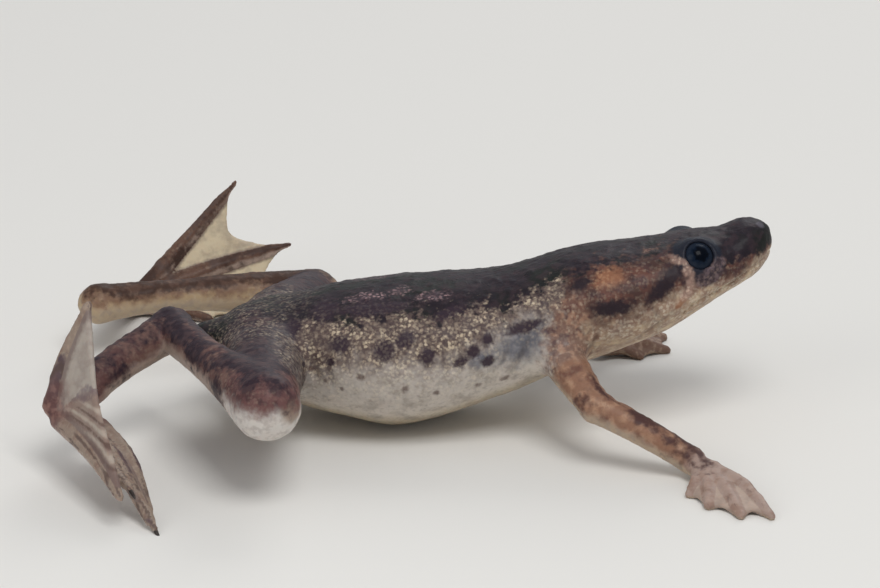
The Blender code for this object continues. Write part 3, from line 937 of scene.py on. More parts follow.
MARKS = {
    "dark": DARK_MARKS,
    "warm": WARM_MARKS,
    "pale": PALE_MARKS,
    "faint": FAINT_MARKS,
    "blue": BLUE_MARKS,
    "rosy": ROSY_MARKS,
    "shoulder": SHOULDER_MARKS,
    "fold": FOLDS,
}

# How far the left side's marks lie from the right side's: along in mm, and up in half heights
MOVED_ALONG = 0.55
MOVED_UP = 0.07

# How dark each limb is by the length along it in mm: length, cover, more of it on top, clouds, streaks
ARM_DARK = (
    (0.0, 0.32, 0.30, 0.90, 0.35),
    (3.6, 0.26, 0.32, 0.95, 0.40),
    (5.4, 0.13, 0.36, 0.95, 0.40),
    (13.0, 0.13, 0.38, 0.85, 0.45),
    (15.0, 0.02, 0.40, 0.30, 0.40),
    (19.0, -0.20, 0.30, 0.20, 0.20),
)
LEG_DARK = {
    Side.RIGHT: (
        (0.0, 0.72, 0.40, 0.70, 0.0),
        (10.0, 0.70, 0.40, 0.70, 0.0),
        (13.4, 0.44, 0.42, 0.60, 0.0),
        (16.0, 0.50, 0.36, 0.40, 0.45),
        (26.0, 0.40, 0.30, 0.55, 0.30),
        (28.5, 0.34, 0.30, 0.40, 0.45),
        (36.0, 0.26, 0.25, 0.35, 0.45),
        (39.0, 0.22, 0.15, 0.35, 0.50),
        (48.0, 0.18, 0.10, 0.30, 0.50),
    ),
    Side.LEFT: (
        (0.0, 0.60, 0.40, 0.50, 0.20),
        (12.0, 0.72, 0.45, 0.50, 0.20),
        (14.0, 0.50, 0.60, 0.30, 0.15),
        (16.0, -0.02, 0.88, 0.25, 0.15),
        (26.0, -0.02, 0.80, 0.25, 0.15),
        (28.0, -0.08, 0.52, 0.35, 0.20),
        (31.0, 0.06, 0.36, 0.40, 0.30),
        (36.0, 0.40, 0.20, 0.35, 0.45),
        (48.0, 0.36, 0.20, 0.30, 0.50),
    ),
}

# Zones of the skin: each is a product of cubic rises, and each rise has a measure of the skin's
# points, the value where it starts and the value where it is full
FAR_LEG = (("arm", 1, 0), ("y", 2.0, 6.0))
NEAR_LEG = (("arm", 1, 0), ("y", 2.0, -2.0))
NEAR_WEB = (("arm", 1, 0), ("y", -2.0, -6.0), ("run", 36.0, 38.0))
ZONES: dict[str, tuple] = {
    "head": (("along", 6.3, 8.4),),
    "throat": (("along", 6.8, 9.6),),
    "gold": (("share", -0.55, -0.95),),
    "upper": (("nz", -0.6, 0.3),),
    "lips": (("mouth_gap", 0.6, 0.3), ("along", 14.0, 15.0)),
    "near_eye": (("eye_gap", 1.80, 1.36),),
    # below the eye: the lower lid, which takes a painted highlight
    "lower_lid": (("below_eye", 0.30, 0.75), ("eye_gap", 2.0, 1.6)),
    # the nostril's hole, which is painted in shade
    "nostril": (("nostril_gap", 0.26, 0.14),),
    # the nostril's rim, which takes a painted highlight
    "nostril_rim": (("nostril_gap", 0.50, 0.24),),
    "folded": (("fold", 0.0, 0.7),),
    "trunk_end": (("root_gap", -0.35, 0.55),),
    "arm_root": (("arm", 0, 1), ("run", 4.8, 3.0)),
    "palm": (("arm", 0, 1), ("run", 11.5, 15.5)),
    # the far hand behind the body, which is painted in shade
    "far_hand": (("arm", 0, 1), ("y", 2.0, 6.0), ("run", 9.5, 12.5)),
    "far_leg": FAR_LEG,
    "far_foot": (*FAR_LEG, ("run", 30.0, 35.0)),
    "sand": (*FAR_LEG, ("run", 11.0, 15.0), ("run", 34.0, 29.0)),
    "near_shank": (*NEAR_LEG, ("run", 15.0, 18.0), ("run", 30.0, 27.0)),
    "near_foot": (*NEAR_LEG, ("run", 38.6, 40.6)),
    "hip": (("arm", 1, 0), ("run", 8.0, 3.0), ("nz", -0.5, 0.3), ("along", -5.5, -10.0)),
    "haunch": (*NEAR_LEG, ("run", 0.5, 3.0), ("run", 12.0, 8.5), ("nx", -0.1, 0.8)),
    "knee": (("knee_gap", 1.6, 0.2),),
    "knee_tan": (("tan_gap", 1.3, 0.5),),
    "heel": (("heel_gap", 3.6, 0.8),),
    "hand_lines": (("arm", 0, 1), ("run", 13.5, 15.5)),
    "foot_lines": (("arm", 1, 0), ("run", 35.0, 39.5)),
    "toe_stripe": (("fifth_gap", 0.35, 0.0), ("run", 38.5, 40.0), ("run", 45.5, 42.0), ("ny", -0.2, -0.8)),
    "web": (("digit_gap", 0.02, 0.22), ("limb_gap", 0.02, 0.25), ("web_gap", 0.6, 0.4)),
    "digit_ray": (("digit_gap", 0.55, 0.05),),
    "near_ray": (*NEAR_WEB, ("digit_gap", 1.1, 0.1)),
    "low_web": (*NEAR_WEB, ("fan", 0.50, 0.38)),
    "web_line": (*NEAR_WEB, ("fan", 0.42, 0.25)),
    "web_pale": (*NEAR_WEB, ("fan", 0.46, 0.30)),
    "web_blotch": (*NEAR_WEB, ("beside", 0.8, 1.6), ("beside", 3.4, 2.2)),
}

# Bell curves across the near web, laid over its zones: zone, measure, middles and width
WEB_BELLS = (
    ("web_line", "beside", (0.42, 0.78, 1.22), 0.07),
    ("web_pale", "beside", (0.60, 1.00, 1.50), 0.10),
    ("web_blotch", "fan", (0.42,), 0.08),
)

# Creases at a joint: where they lie along the bend in mm, their share of the full depth, and
# whether on the side that faces into the bend, 1, or on the other, -1
CREASES = (((-0.85, 0.0, 0.85), 1.0, 1), ((-0.5, 0.5), 0.45, -1))
CREASE_WIDTH = 0.23

# Noises that are added up: strength, size in mm and seed
GLANDS = ((0.055, 0.62, 11), (0.035, 1.15, 23))
WAVES = ((0.05, 2.4, 5), (0.03, 1.1, 7))
CLOUDS = ((0.6, 1.7, 31), (0.4, 0.8, 37))

# Where the dark back ends and where the pale belly begins: x, share of the half height
BACK_EDGE = (
    (-15.0, 0.30), (-12.0, 0.50), (-9.0, 0.66), (-7.25, 0.73), (-5.1, 0.60), (-4.2, 0.68),
    (-2.4, 0.72), (0.0, 0.62), (2.4, 0.68), (3.9, 0.53), (5.4, 0.68), (7.2, 0.73), (8.3, 0.72),
    (9.5, 0.78), (11.9, 0.79), (13.0, 0.82), (14.2, 0.84), (15.3, 0.50), (16.2, 0.20),
    (17.2, 0.10), (18.5, -0.06), (20.2, -0.15),
)
BELLY_EDGE = (
    (-15.0, -0.50), (-12.0, -0.42), (-9.0, -0.32), (-7.3, -0.14), (-5.6, 0.04), (-2.4, 0.08),
    (0.0, 0.0), (2.4, 0.06), (3.6, 0.20), (4.8, 0.34), (6.0, 0.20), (7.2, 0.0), (8.5, -0.12),
    (10.0, -0.22), (12.0, -0.20), (14.0, -0.12), (15.7, -0.24), (16.6, -0.40), (17.6, -0.56),
    (18.4, -0.44), (19.2, -0.26), (20.2, -0.15),
)


@dataclass(frozen=True)
class Layer:
    """A colour, or a stack of layers, laid over the ones before it in its own stack.

    Its cover is a smooth step of one of the skin's numbers, which cloudy noise moves up and down.

    Args:
        paint: An sRGB hex colour or a stack of layers.
        number: The number that says where, or nothing for the noise alone.
        low: The value at which the cover starts.
        high: The value at which it is full.
        most: The full cover.
        fray: How far the noise moves the number each way.
        lump: Size of the noise's lumps in mm.
        octaves: How many finer noises are added to the first.
        grained: Whether only the granules take the paint.
    """

    paint: "str | tuple[Layer, ...]"
    number: str = ""
    low: float = 0.0
    high: float = 1.0
    most: float = 1.0
    fray: float = 0.0
    lump: float = 0.45
    octaves: float = 4.0
    grained: bool = False


def numbers_in(stack: tuple[Layer, ...]) -> set[str]:
    """The names of the skin's numbers that a stack of layers reads."""
    inner = [numbers_in(layer.paint) for layer in stack if not isinstance(layer.paint, str)]
    return {layer.number for layer in stack if layer.number}.union(*inner)


def clouds(paint: str, low: float, high: float, lump: float, most: float = 1.0) -> Layer:
    """A layer that lies in clouds of that size, where the noise is over its low and high values."""
    return Layer(paint, low=low, high=high, most=most, fray=0.5, lump=lump)


def grains(paint: str, most: float, number: str = "", low: float = 0.0, high: float = 1.0) -> Layer:
    """A layer that only the granules take, up to that cover, with nothing frayed."""
    return Layer(paint, number, low, high, most, grained=True)


GRANULES = "#c2b199"
BACK = (
    Layer("#241d24"),
    clouds("#1f211f", -0.08, 0.16, 2.6),
    clouds("#3b2e33", -0.04, 0.14, 0.6, 0.55),
    Layer("#56454c", "rosy", 0.10, 0.80, 0.40, fray=0.9, lump=0.30),
    Layer("#ab8b8c", "rosy", 0.0, 0.50, 0.80, fray=0.7, lump=0.30, grained=True),
    Layer(GRANULES, "hip", 0.2, 1.0, 0.35, fray=0.5, lump=1.1, grained=True),
)
FLANK = (
    Layer("#574946"),
    clouds("#74655c", -0.05, 0.12, 0.24, 0.8),
    Layer(GRANULES, grained=True),
    clouds("#3f3135", 0.03, 0.16, 0.8, 0.65),
)
CHEEK = (
    Layer("#47322e"),
    clouds("#64433a", -0.08, 0.12, 1.1),
    clouds("#3b2c31", -0.04, 0.14, 0.5, 0.6),
    grains(GRANULES, 0.22),
)
BELLY = (
    Layer("#cdc4ba"),
    Layer("#8a817c", "belly", -0.80, -0.10, 0.50, fray=0.3, lump=0.3),
    Layer("#b9aa91", "gold", 0.1, 1.1, fray=0.3, lump=1.2),
    Layer("#cab496", "throat", 0.2, 0.8, fray=0.2, lump=0.8),
    clouds("#948a80", -0.06, 0.20, 0.95, 0.62),
    Layer("#86655a", "throat", 0.70, 1.15, most=0.65, fray=0.7, lump=0.8),
    Layer("#dccfb4", "throat", 0.40, 1.20, most=0.55, fray=0.6, lump=0.5, grained=True),
    clouds("#8b8078", 0.0, 0.18, 0.28, 0.35),
    grains("#d8cdbd", 0.35),
    Layer("#d3c7b4", "belly", -0.70, -0.10, 0.55, fray=0.3, lump=0.6, grained=True),
)
BLUE = (
    Layer("#51545f"),
    clouds("#83828a", 0.0, 0.16, 0.5, 0.5),
    grains(GRANULES, 0.22),
)
PALM = (Layer("#a8948a"), clouds("#866b5e", -0.04, 0.16, 0.9, 0.65))
ARM = (
    Layer("#8a6754"),
    clouds("#b8957a", -0.06, 0.18, 0.6, 0.65),
    clouds("#5f3f38", -0.03, 0.14, 1.1, 0.75),
    clouds("#6d4d43", 0.02, 0.16, 0.3, 0.4),
    Layer(PALM, "palm", 0.0, 1.0, 0.85),
    grains(GRANULES, 0.10),
)
SHOULDER = (
    Layer("#74564a"),
    clouds("#a07c66", -0.02, 0.14, 0.5, 0.8),
    clouds("#4a2f31", 0.01, 0.13, 0.7, 0.8),
    grains(GRANULES, 0.40),
)
SAND = (
    Layer("#ad9677"),
    clouds("#7f5f50", 0.02, 0.14, 0.7, 0.7),
    clouds("#b7a48e", 0.0, 0.14, 0.25, 0.5),
)
TOES = (
    Layer("#8f7e71"),
    clouds("#7d6154", -0.02, 0.14, 0.9, 0.5),
    clouds("#a89889", 0.0, 0.14, 0.3, 0.35),
)
KNEE = (
    Layer("#694947"),
    clouds("#3c292d", -0.05, 0.12, 0.6, 0.75),
)
LEG = (
    Layer("#6d524b"),
    clouds("#563939", -0.08, 0.12, 0.9, 0.8),
    Layer(KNEE, "knee", 0.2, 0.8, 0.85, fray=0.3, lump=0.6),
    Layer(SAND, "sand"),
    Layer("#654c41", "far_foot"),
    Layer(TOES, "near_foot"),
    grains(GRANULES, 0.14),
)
UNDERSIDE = (
    Layer("#aa968a"),
    Layer("#b39f8a", "arm"),
    Layer("#b3a088", "sand"),
    Layer("#d3ccc5", "knee"),
    Layer("#8f7864", "knee_tan", 0.1, 0.9, 0.85, fray=0.2),
    clouds("#978b84", -0.05, 0.16, 0.40, 0.40),
)
SAND_DUSK = (Layer("#3f2c25"), clouds("#5b443a", -0.02, 0.12, 0.9, 0.7))
DUSK = (
    Layer("#2a2029"),
    clouds("#453538", -0.05, 0.12, 0.6),
    Layer("#4b3331", "arm"),
    Layer(SAND_DUSK, "sand"),
    Layer("#45332d", "far_foot"),
    Layer("#57474c", "near_foot"),
    grains(GRANULES, 0.60, "hip", 0.0, 1.0),
)
HAUNCH = (
    Layer("#443a3c"),
    clouds("#857a72", -0.05, 0.14, 0.35, 0.85),
    grains(GRANULES, 0.70),
)
LIMB = (
    Layer(LEG),
    Layer(ARM, "arm", 0.4, 0.6),
    Layer(UNDERSIDE, "under", -0.30, 0.34, fray=0.34, lump=0.6),
    Layer("#76594a", "brown_edge", -0.05, 0.50, 0.85, fray=0.45, lump=0.5),
    Layer(DUSK, "blot", 0.34, 0.72, 0.95, fray=0.40, lump=0.4),
    Layer(HAUNCH, "haunch", 0.15, 0.90, 0.75, fray=0.45, lump=0.7),
    Layer("#584843", "line", 0.50, 0.90, 0.80, fray=0.15, lump=0.3),
)
WEB = (
    Layer("#a89e94"),
    # painted light: the far foot's webs are paler, as if light shines through them
    Layer("#cfc0a4", "far_leg"),
    Layer("#b09c8e", "arm"),
    clouds("#7f706a", -0.06, 0.22, 0.9, 0.45),
    Layer("#95857a", "low_web", 0.2, 0.8, 0.80, fray=0.5, lump=0.5),
    Layer("#7f6459", "low_web", 0.45, 1.10, 0.50, fray=0.9, lump=0.9),
    Layer("#b7ab9e", "web_pale", 0.30, 1.00, 0.70, fray=0.4, lump=0.5),
    Layer("#6a5a60", "web_blotch", 0.30, 1.20, 0.65, fray=0.9, lump=0.45),
    Layer("#5f4a43", "web_line", 0.30, 1.00, 0.85, fray=0.5, lump=0.5),
    Layer("#6f5d58", "ray", 0.30, 0.90, 0.75, fray=0.35, lump=0.4),
)
# Painted highlight on the wet lower lid: a lighter slate below the eye
LOWER_LID_HIGHLIGHT = (
    Layer("#3f3439"),
    clouds("#6a5a5e", -0.05, 0.13, 0.35, 0.85),
)
SPOT = (
    Layer("#352932"),
    grains(GRANULES, 0.09),
    Layer("#281f25", "head"),
)
SIDES = (Layer(FLANK), Layer(CHEEK, "head", 0.25, 0.75, fray=0.30, lump=0.8))
TRUNK = (
    Layer(BELLY),
    Layer(SIDES, "belly", -0.34, 0.30, fray=0.34, lump=0.6),
    Layer(BLUE, "blue", 0.0, 0.8, 0.85, fray=0.45, lump=0.7),
    Layer(SHOULDER, "shoulder", 0.0, 0.60, 0.90, fray=0.6, lump=0.6),
    Layer("#94654b", "warm", 0.0, 0.70, 0.78, fray=0.6, lump=0.50),
    Layer("#c9a27c", "warm", 0.0, 0.60, 0.45, fray=0.6, lump=0.40, grained=True),
    Layer(BACK, "back", -0.12, 0.08, fray=0.42),
    Layer("#4d3631", "faint", 0.1, 0.8, 0.7, fray=0.5, lump=0.3),
    Layer(SPOT, "dark", -0.16, 0.52, 0.95, fray=0.55, lump=0.30),
    Layer("#20242f", "near_eye", 0.10, 0.80, 0.92, fray=0.35, lump=0.5),
    # painted highlight: the lower lid is lighter slate
    Layer(LOWER_LID_HIGHLIGHT, "lower_lid", 0.10, 0.80, 0.85, fray=0.4, lump=0.4),
    Layer("#b79c90", "lower_lid", 0.10, 0.90, 0.30, fray=0.5, lump=0.3, grained=True),
    Layer("#a28578", "pale", -0.20, 0.70, 0.65, fray=0.8, lump=0.35),
    Layer("#d4b8a6", "pale", -0.05, 0.60, 0.90, fray=0.6, lump=0.3, grained=True),
    # painted highlight: a grey patch on the rim round each nostril
    Layer("#56515a", "nostril_rim", 0.20, 0.80, 0.80, fray=0.2, lump=0.2),
    # painted shade: the inside of each nostril is painted near black
    Layer("#0d0a0f", "nostril", 0.30, 0.80),
)
HEEL = (
    Layer("#674845"),
    clouds("#8f6b62", -0.08, 0.12, 0.5, 0.85),
)
# The far hand: its brown is painted shade, while its pale streaks are its own
FAR_HAND_IN_SHADE = (
    Layer("#64493c"),
    clouds("#9a8470", -0.02, 0.14, 0.4, 0.7),
)
WHOLE = (
    Layer(TRUNK),
    Layer(LIMB, "limb", 0.25, 0.75, fray=0.35, lump=0.7),
    Layer(WEB, "web", 0.35, 0.75),
    Layer(HEEL, "heel", 0.10, 1.0, 0.80, fray=0.5, lump=0.7),
    # painted shade over the far hand and its webs
    Layer(FAR_HAND_IN_SHADE, "far_hand", 0.10, 0.90, 0.80, fray=0.4, lump=0.6),
    # painted shade: the creases and folds are darkened where shade falls in them
    Layer("#3d2f2f", "crease", 0.35, 1.10, 0.32, fray=0.2, lump=0.4),
)


@dataclass(frozen=True)
class WetSkin:
    """Living frog skin, wet: thin, a little see-through and full of small glands.

    The eye gets a dark purple-brown back that breaks up along a wavy edge into cream granules on
    brown-grey flanks, a pale belly, dark blotches with ragged edges, clouded limbs, and a soft wet
    gloss over pimples of about a fifth of a millimetre.
    """

    layers: tuple[Layer, ...] = WHOLE
    granule_mm: float = 0.24
    granule_edge_mm: float = 0.17
    mottle_mm: float = 1.1
    pore_mm: float = 0.22
    wet_patch_mm: float = 0.6
    relief_mm: float = 0.04

    def build(self) -> bpy.types.Material:
        """Makes the material: layers of colour, pimples and pores, and a gloss that comes in patches.

        Returns:
            The material.
        """
        values = {"IOR": 1.38, "Specular IOR Level": 0.17, "Coat Weight": 0.06, "Coat Roughness": 0.20}
        values["Subsurface Weight"] = 0.12
        values["Subsurface Radius"] = (1.0, 0.45, 0.30)
        values["Subsurface Scale"] = 0.5 * MM
        material, tree, shader = new_material("wet_frog_skin", values)
        place = add_node(tree, "ShaderNodeTexCoord", {}).outputs["Object"]
        shared: dict[object, bpy.types.NodeSocket] = {"place": place}
        shared["granules"] = self.granules(tree, place)
        tree.links.new(self.lay(tree, self.layers, shared), shader.inputs["Base Color"])

        depth = self.relief_mm * MM
        pimples = {"Strength": 0.35, "Distance": depth, "Height": shared["granules"]}
        bump = add_node(tree, "ShaderNodeBump", pimples).outputs[0]
        pores = {"Vector": place, "Scale": 1 / (self.pore_mm * MM), "Detail": 2.0}
        pores = add_node(tree, "ShaderNodeTexNoise", pores).outputs["Fac"]
        pores = {"Strength": 0.25, "Distance": depth, "Height": pores, "Normal": bump}
        tree.links.new(add_node(tree, "ShaderNodeBump", pores).outputs[0], shader.inputs["Normal"])
        wet = {"Vector": place, "Scale": 1 / (self.wet_patch_mm * MM), "Detail": 3.0}
        wet = add_node(tree, "ShaderNodeTexNoise", wet).outputs["Fac"]
        wet = {"Value": wet, "To Min": 0.42, "To Max": 0.62}
        tree.links.new(add_node(tree, "ShaderNodeMapRange", wet).outputs[0], shader.inputs["Roughness"])
        return material

    def granules(self, tree: bpy.types.NodeTree, place: bpy.types.NodeSocket) -> bpy.types.NodeSocket:
        """Where the granules lie: round each cell's middle, within a way that noise makes uneven.

        Each cell shines with a strength of its own, and slow noise thins them out in patches.

        Args:
            tree: The material's nodes.
            place: The place on the skin.

        Returns:
            A value from 0 between the granules to about 1 on them.
        """
        grid = {"Vector": place, "Scale": 1 / (self.granule_mm * MM), "Randomness": 1.0}
        cells = add_node(tree, "ShaderNodeTexVoronoi", grid)
        edge = {"Vector": place, "Scale": 1 / (self.granule_edge_mm * MM), "Detail": 2.0}
        edge = add_node(tree, "ShaderNodeTexNoise", edge).outputs["Fac"]
        ragged = {0: edge, 1: 1.5, 2: cells.outputs["Distance"]}
        way = add_node(tree, "ShaderNodeMath", ragged, operation="MULTIPLY_ADD").outputs[0]
        near = {"Value": way, "From Min": 1.42, "From Max": 0.92}
        near = add_node(tree, "ShaderNodeMapRange", near, interpolation_type="SMOOTHSTEP").outputs[0]
        own = add_node(tree, "ShaderNodeSeparateXYZ", {0: cells.outputs["Color"]}).outputs["X"]
        own = add_node(tree, "ShaderNodeMapRange", {"Value": own, "To Min": 0.25, "To Max": 1.1}).outputs[0]
        slow = {"Vector": place, "Scale": 1 / (self.mottle_mm * MM), "Detail": 4.0}
        slow = add_node(tree, "ShaderNodeTexNoise", slow).outputs["Fac"]
        slow = {"Value": slow, "From Min": 0.36, "From Max": 0.60, "To Min": 0.25, "To Max": 1.0}
        patches = add_node(tree, "ShaderNodeMapRange", slow).outputs[0]
        bright = add_node(tree, "ShaderNodeMath", {0: near, 1: own}, operation="MULTIPLY").outputs[0]
        return add_node(tree, "ShaderNodeMath", {0: bright, 1: patches}, operation="MULTIPLY").outputs[0]

    def lay(self, tree: bpy.types.NodeTree, stack: tuple[Layer, ...], shared: dict) -> object:
        """Lays a stack of layers over one another.

        Args:
            tree: The material's nodes.
            stack: The layers, the lowest one first.
            shared: Outputs that are made once, by what they are.

        Returns:
            The colour of the stack, as an output or as the hex code of a single layer.
        """
        if stack in shared:
            return shared[stack]
        result: object = None
        for layer in stack:
            paint = layer.paint if isinstance(layer.paint, str) else self.lay(tree, layer.paint, shared)
            if result is None:
                result = paint
            else:
                cover = self.cover(tree, layer, shared)
                mix = add_node(tree, "ShaderNodeMix", {0: cover, 6: result, 7: paint}, data_type="RGBA")
                result = mix.outputs[2]
        shared[stack] = result
        return result

    def cover(self, tree: bpy.types.NodeTree, layer: Layer, shared: dict) -> object:
        """How much of what lies below a layer covers: a smooth step of its number plus its noise.

        Args:
            tree: The material's nodes.
            layer: The layer.
            shared: Outputs that are made once, by what they are.

        Returns:
            The cover, as an output or as one value.
        """
        value: object = 0.0
        if layer.number:
            if layer.number not in shared:
                number = add_node(tree, "ShaderNodeAttribute", {}, attribute_name=layer.number)
                shared[layer.number] = number.outputs["Fac"]
            value = shared[layer.number]
        if layer.fray:
            noise = (layer.lump, layer.octaves)
            if noise not in shared:
                lumps = {"Vector": shared["place"], "Scale": 1 / (layer.lump * MM), "Detail": layer.octaves}
                shared[noise] = add_node(tree, "ShaderNodeTexNoise", lumps).outputs["Fac"]
            moved = {0: shared[noise], 1: 2 * layer.fray, 2: value}
            value = add_node(tree, "ShaderNodeMath", moved, operation="MULTIPLY_ADD").outputs[0]
        cover: object = layer.most
        if layer.number or layer.fray:
            step = {"Value": value, "From Min": layer.low + layer.fray, "From Max": layer.high + layer.fray}
            step["To Max"] = layer.most
            cover = add_node(tree, "ShaderNodeMapRange", step, interpolation_type="SMOOTHSTEP").outputs[0]
        if layer.grained:
            both = {0: shared["granules"], 1: cover}
            cover = add_node(tree, "ShaderNodeMath", both, operation="MULTIPLY").outputs[0]
        return cover


@dataclass(frozen=True)
class EyeGloss:
    """A frog's eye: a clear wet cornea over a slate-blue iris and a large navy pupil.

    The eye gets a deep blue-black disc that frays star-like into slate, and one small light on it.
    """

    rings: tuple = (
        (0.195, "#01050f"),
        (0.225, "#0d1828"),
        (0.265, "#18212e"),
        (0.340, "#252c39"),
        # the rim is painted shadow, where the lid shades the eyeball
        (0.390, "#1a1e28"),
    )
    fray: float = 0.15
    fray_mm: float = 0.24

    def build(self) -> bpy.types.Material:
        """Makes the material; U of its UV map runs round the look axis and V outwards from it.

        The rings' colours, from the pupil to the rim, go by V plus a noise.

        Returns:
            The material.
        """
        values = {"Roughness": 0.30, "IOR": 1.376, "Specular IOR Level": 0.05}
        values.update({"Coat Weight": 0.09, "Coat Roughness": 0.02})
        material, tree, shader = new_material("wet_eye", values)
        uv = add_node(tree, "ShaderNodeUVMap", {}, uv_map="iris").outputs[0]
        outwards = add_node(tree, "ShaderNodeSeparateXYZ", {0: uv}).outputs["Y"]
        place = add_node(tree, "ShaderNodeTexCoord", {}).outputs["Object"]
        star = {"Vector": place, "Scale": 1 / (self.fray_mm * MM), "Detail": 3.0}
        star = add_node(tree, "ShaderNodeTexNoise", star).outputs["Fac"]
        frayed = {0: star, 1: self.fray, 2: outwards}
        value = add_node(tree, "ShaderNodeMath", frayed, operation="MULTIPLY_ADD").outputs[0]
        ramp = add_node(tree, "ShaderNodeValToRGB", {0: value})
        stops = ramp.color_ramp.elements
        for number, (position, code) in enumerate(self.rings):
            stop = stops[number] if number < len(stops) else stops.new(position)
            stop.position, stop.color = position, to_linear(code)
        tree.links.new(ramp.outputs[0], shader.inputs["Base Color"])
        return material


@dataclass(frozen=True)
class ClawHorn:
    """Claw of keratin: dense, grown in fine layers and worn smooth by the ground.

    The eye gets a nearly black point with faint brown streaks and a soft gloss.
    """

    horn: str = "#15110f"
    worn: str = "#3a2c25"
    streak_mm: float = 0.1

    def build(self) -> bpy.types.Material:
        """Makes the material.

        Returns:
            The material.
        """
        material, tree, shader = new_material("claw_keratin", {"Roughness": 0.32})
        place = add_node(tree, "ShaderNodeTexCoord", {}).outputs["Object"]
        streaks = {"Vector": place, "Scale": 1 / (self.streak_mm * MM), "Detail": 3.0}
        streaks = add_node(tree, "ShaderNodeTexNoise", streaks).outputs["Fac"]
        both = {0: streaks, 6: self.horn, 7: self.worn}
        colour = add_node(tree, "ShaderNodeMix", both, data_type="RGBA").outputs[2]
        tree.links.new(colour, shader.inputs["Base Color"])
        return material


@dataclass(frozen=True)
class Head:
    """Sizes of the head's own forms, in mm in the trunk's sections.

    The mouth is a line of x and height, each lip has its height off that line and its own height,
    and the lips fade in and out between two values of x.
    """

    eye_x: float = 15.2
    eye_aside: float = 2.70
    eye_up: float = 1.10
    eye_radius: float = 1.10
    eye_look: Point = (0.16, 0.88, 0.44)
    lid_thickness: float = 0.25
    lid_reach: float = 0.55
    opening: float = math.radians(48)
    nostril: Point = (19.25, 0.95, 1.12)
    nostril_radius: float = 0.16
    nostril_mound: float = 0.30
    nostril_sink: float = 0.86
    mouth: tuple = (
        (14.3, -1.80),
        (14.6, -1.54),
        (15.1, -1.38),
        (16.1, -1.28),
        (17.2, -1.20),
        (18.3, -1.05),
        (19.2, -0.80),
        (21.0, -0.22),
    )
    mouth_half: float = 0.07
    mouth_depth: float = 0.14
    lips: tuple = ((0.26, 0.090), (-0.24, 0.054))
    lip_width: float = 0.17
    lip_fades: tuple = ((14.3, 15.5), (19.6, 18.2))

    def eye_centre(self, trunk: Trunk, side: Side) -> Array:
        """The middle of an eye."""
        return trunk.place(self.eye_x, side.value * self.eye_aside, self.eye_up)

    def eye_axis(self, trunk: Trunk, side: Side) -> Array:
        """The direction in which an eye looks.

        Args:
            trunk: The trunk that carries the eye.
            side: The eye's side.

        Returns:
            A way of length 1.
        """
        ahead, aside, up = self.eye_look
        _, left, top = trunk.frame_at(self.eye_x)
        axis = np.array((ahead, 0.0, 0.0)) + side.value * aside * left + up * top
        return axis / np.linalg.norm(axis)

    def hole(self, trunk: Trunk, side: Side, sink: float = 1.0) -> Array:
        """The middle of a nostril, or a point below it at a share of its way out of the section."""
        ahead, aside, up = self.nostril
        return trunk.place(ahead, side.value * aside * sink, up * sink)

    def mouth_off(self, along: Array, up: Array) -> Array:
        """How far points lie over the mouth's line."""
        return up - np.interp(along, *np.transpose(self.mouth))


